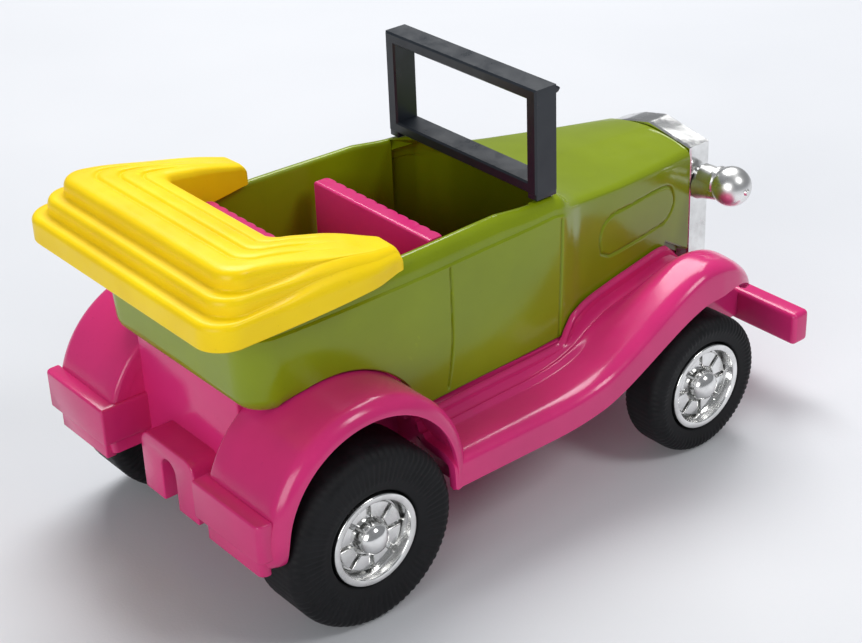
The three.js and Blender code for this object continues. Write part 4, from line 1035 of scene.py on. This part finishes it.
def insert(end, name, side):
    """Plated wheel insert: lip, dish, wedge pads and a domed hub."""
    x0, z0 = AXLES[end]
    width = TYRE_W[end]
    shell = Shell()
    face = width - 0.2
    floor = face - 3.2
    inner = WHEEL_Y - width
    hub = 3.1
    up = np.linspace(0, np.pi / 2, 14)
    dome = np.stack([hub * np.cos(up), face - 0.9 + 2.2 * np.sin(up)], axis=1)
    profile = np.concatenate([
        [(0, width - 4.5), (1.8, width - 4.5), (1.8, 0), (8.2, 0), (9.0, 0.5), (9.2, 1.0), (9.2, face - 0.3)],
        arc(8.9, face - 0.3, 0.3, 0, 90, 4),
        [(8.2, face), (7.95, face - 0.12), (7.8, face - 0.4), (7.45, floor + 0.4), (7.3, floor + 0.1)],
        [(7.0, floor), (hub + 0.5, floor), (hub + 0.1, floor + 0.15), (hub, floor + 0.5)], dome,
    ])
    shell.lathe(profile, (x0, side * inner, z0), side, 96)
    # Pads stand in a ring with a narrow gap between them
    pads, half_gap, pad_in, pad_out = 8, 0.42, 3.75, 6.9
    near, far = half_gap / 3.7, half_gap / pad_out
    for k in range(pads):
        a0, a1 = 2 * np.pi * k / pads, 2 * np.pi * (k + 1) / pads
        line = np.concatenate([
            arc(0, 0, pad_in, math.degrees(a0 + near), math.degrees(a1 - near), 5),
            arc(0, 0, pad_out, math.degrees(a1 - far), math.degrees(a0 + far), 9),
        ]) + [x0, z0]
        ends = sorted((side * (inner + floor - 0.4), side * (inner + floor + 1.5)))
        shell.prism(line, 1, ends[0], ends[1], 0.28)
    shell.done(
        f"{end}_wheel_{name}_visual", BRIGHT, f"{end}_wheels", 35, [f"{end}_wheel_{name}"],
    )


body_shell()
chassis_frame()
for side, name in ((1, "left"), (-1, "right")):
    front_fender(f"front_fender_{name}", side)
    rear_fender(f"rear_fender_{name}", side)
    for make in (tyre, insert):
        for end in AXLES:
            make(end, name, side)
seat("front_seat_visual", "front_seat", base_half=17.5, step_z=43, cushion_z=43)
seat("rear_seat_visual", "rear_seat", ARCH_INNER_Y - 0.6, step_z=ARCH_Z + ARCH_R + 0.6, cushion_z=45)
headlight(-1, "right")
folded_top()
windshield()
radiator()

# CAD pieces that stay: axles, keepers and screws
for node, piece in frame["nodes"].items():
    if "axle" in node or "screw" in node:
        finish = PINK if "keeper" in node and "screw" not in node else STEEL
        piece.data.materials.clear()
        piece.data.materials.append(finish)
        soft_edge = piece.modifiers.new("soft_edge", "BEVEL")
        soft_edge.width = 0.18 * MM
        soft_edge.segments = 2
        soft_edge.limit_method = "ANGLE"
        soft_edge.angle_limit = math.radians(40)


# Floor, light and camera
FLOOR_HALF = 3.0
LOOK_AT = (0, 0, 0.03)
SKY_COLOUR = (0.92, 0.95, 1.0, 1)
SKY_STRENGTH = 0.26


def floor_cloth():
    """Plain pale cloth under the toy."""
    material, tree, shader, place = node_material("pale_cloth")
    cloud = noise(tree, place, scale=3.5, detail=4)
    tone = ramp(tree, cloud, [(0.3, (0.60, 0.615, 0.645)), (0.7, (0.68, 0.69, 0.715))])
    tree.links.new(tone, shader.inputs["Base Color"])
    shader.inputs["Roughness"].default_value = 0.85
    bump(tree, shader, noise(tree, place, scale=1800, detail=3), 0.1, 0.0003)
    mesh = bpy.data.meshes.new("floor")
    corners = [(x * FLOOR_HALF, y * FLOOR_HALF, 0) for x, y in ((-1, -1), (1, -1), (1, 1), (-1, 1))]
    mesh.from_pydata(corners, [], [(0, 1, 2, 3)])
    mesh.materials.append(material)
    floor = bpy.data.objects.new("floor", mesh)
    bpy.context.collection.objects.link(floor)


def lamp(name, place, size, power):
    """Rectangular light that points at the toy."""
    data = bpy.data.lights.new(name, "AREA")
    data.shape = "RECTANGLE"
    data.size, data.size_y = size
    data.energy = power
    light = bpy.data.objects.new(name, data)
    light.location = place
    light.rotation_euler = (Vector(LOOK_AT) - Vector(place)).to_track_quat("-Z", "Y").to_euler()
    bpy.context.collection.objects.link(light)


def camera():
    """Camera that stands where the photograph was taken."""
    data = bpy.data.cameras.new("photo_camera")
    data.sensor_fit = "HORIZONTAL"
    data.sensor_width = SENSOR_MM
    data.lens = FOCAL_PX * SENSOR_MM / PHOTO_W
    data.clip_start, data.clip_end = 0.01, 20
    az, el, roll = (math.radians(v) for v in (CAM_AZ, CAM_EL, CAM_ROLL))
    back = Vector((math.sin(az) * math.cos(el), -math.cos(az) * math.cos(el), math.sin(el)))
    right = Vector((math.cos(az), math.sin(az), 0))
    up = back.cross(right)
    across = right * math.cos(roll) + up * math.sin(roll)
    upward = up * math.cos(roll) - right * math.sin(roll)
    turn = Matrix((across, upward, back)).transposed().to_4x4()
    cam = bpy.data.objects.new("photo_camera", data)
    cam.matrix_world = Matrix.Translation(world(CAM_POS)) @ turn
    bpy.context.collection.objects.link(cam)
    bpy.context.scene.camera = cam


floor_cloth()
camera()
lamp("key", (0.28, 0.34, 0.75), size=(0.6, 0.5), power=7.6)
lamp("window", (0.2, -0.5, 0.6), size=(0.2, 0.26), power=1.5)
lamp("fill", (-0.7, -0.3, 0.32), size=(0.5, 0.4), power=2.6)
sky = bpy.data.worlds.new("studio")
bpy.context.scene.world = sky
sky.use_nodes = True
background = sky.node_tree.nodes["Background"]
background.inputs["Color"].default_value = SKY_COLOUR
background.inputs["Strength"].default_value = SKY_STRENGTH
bpy.context.scene.view_settings.view_transform = "Standard"
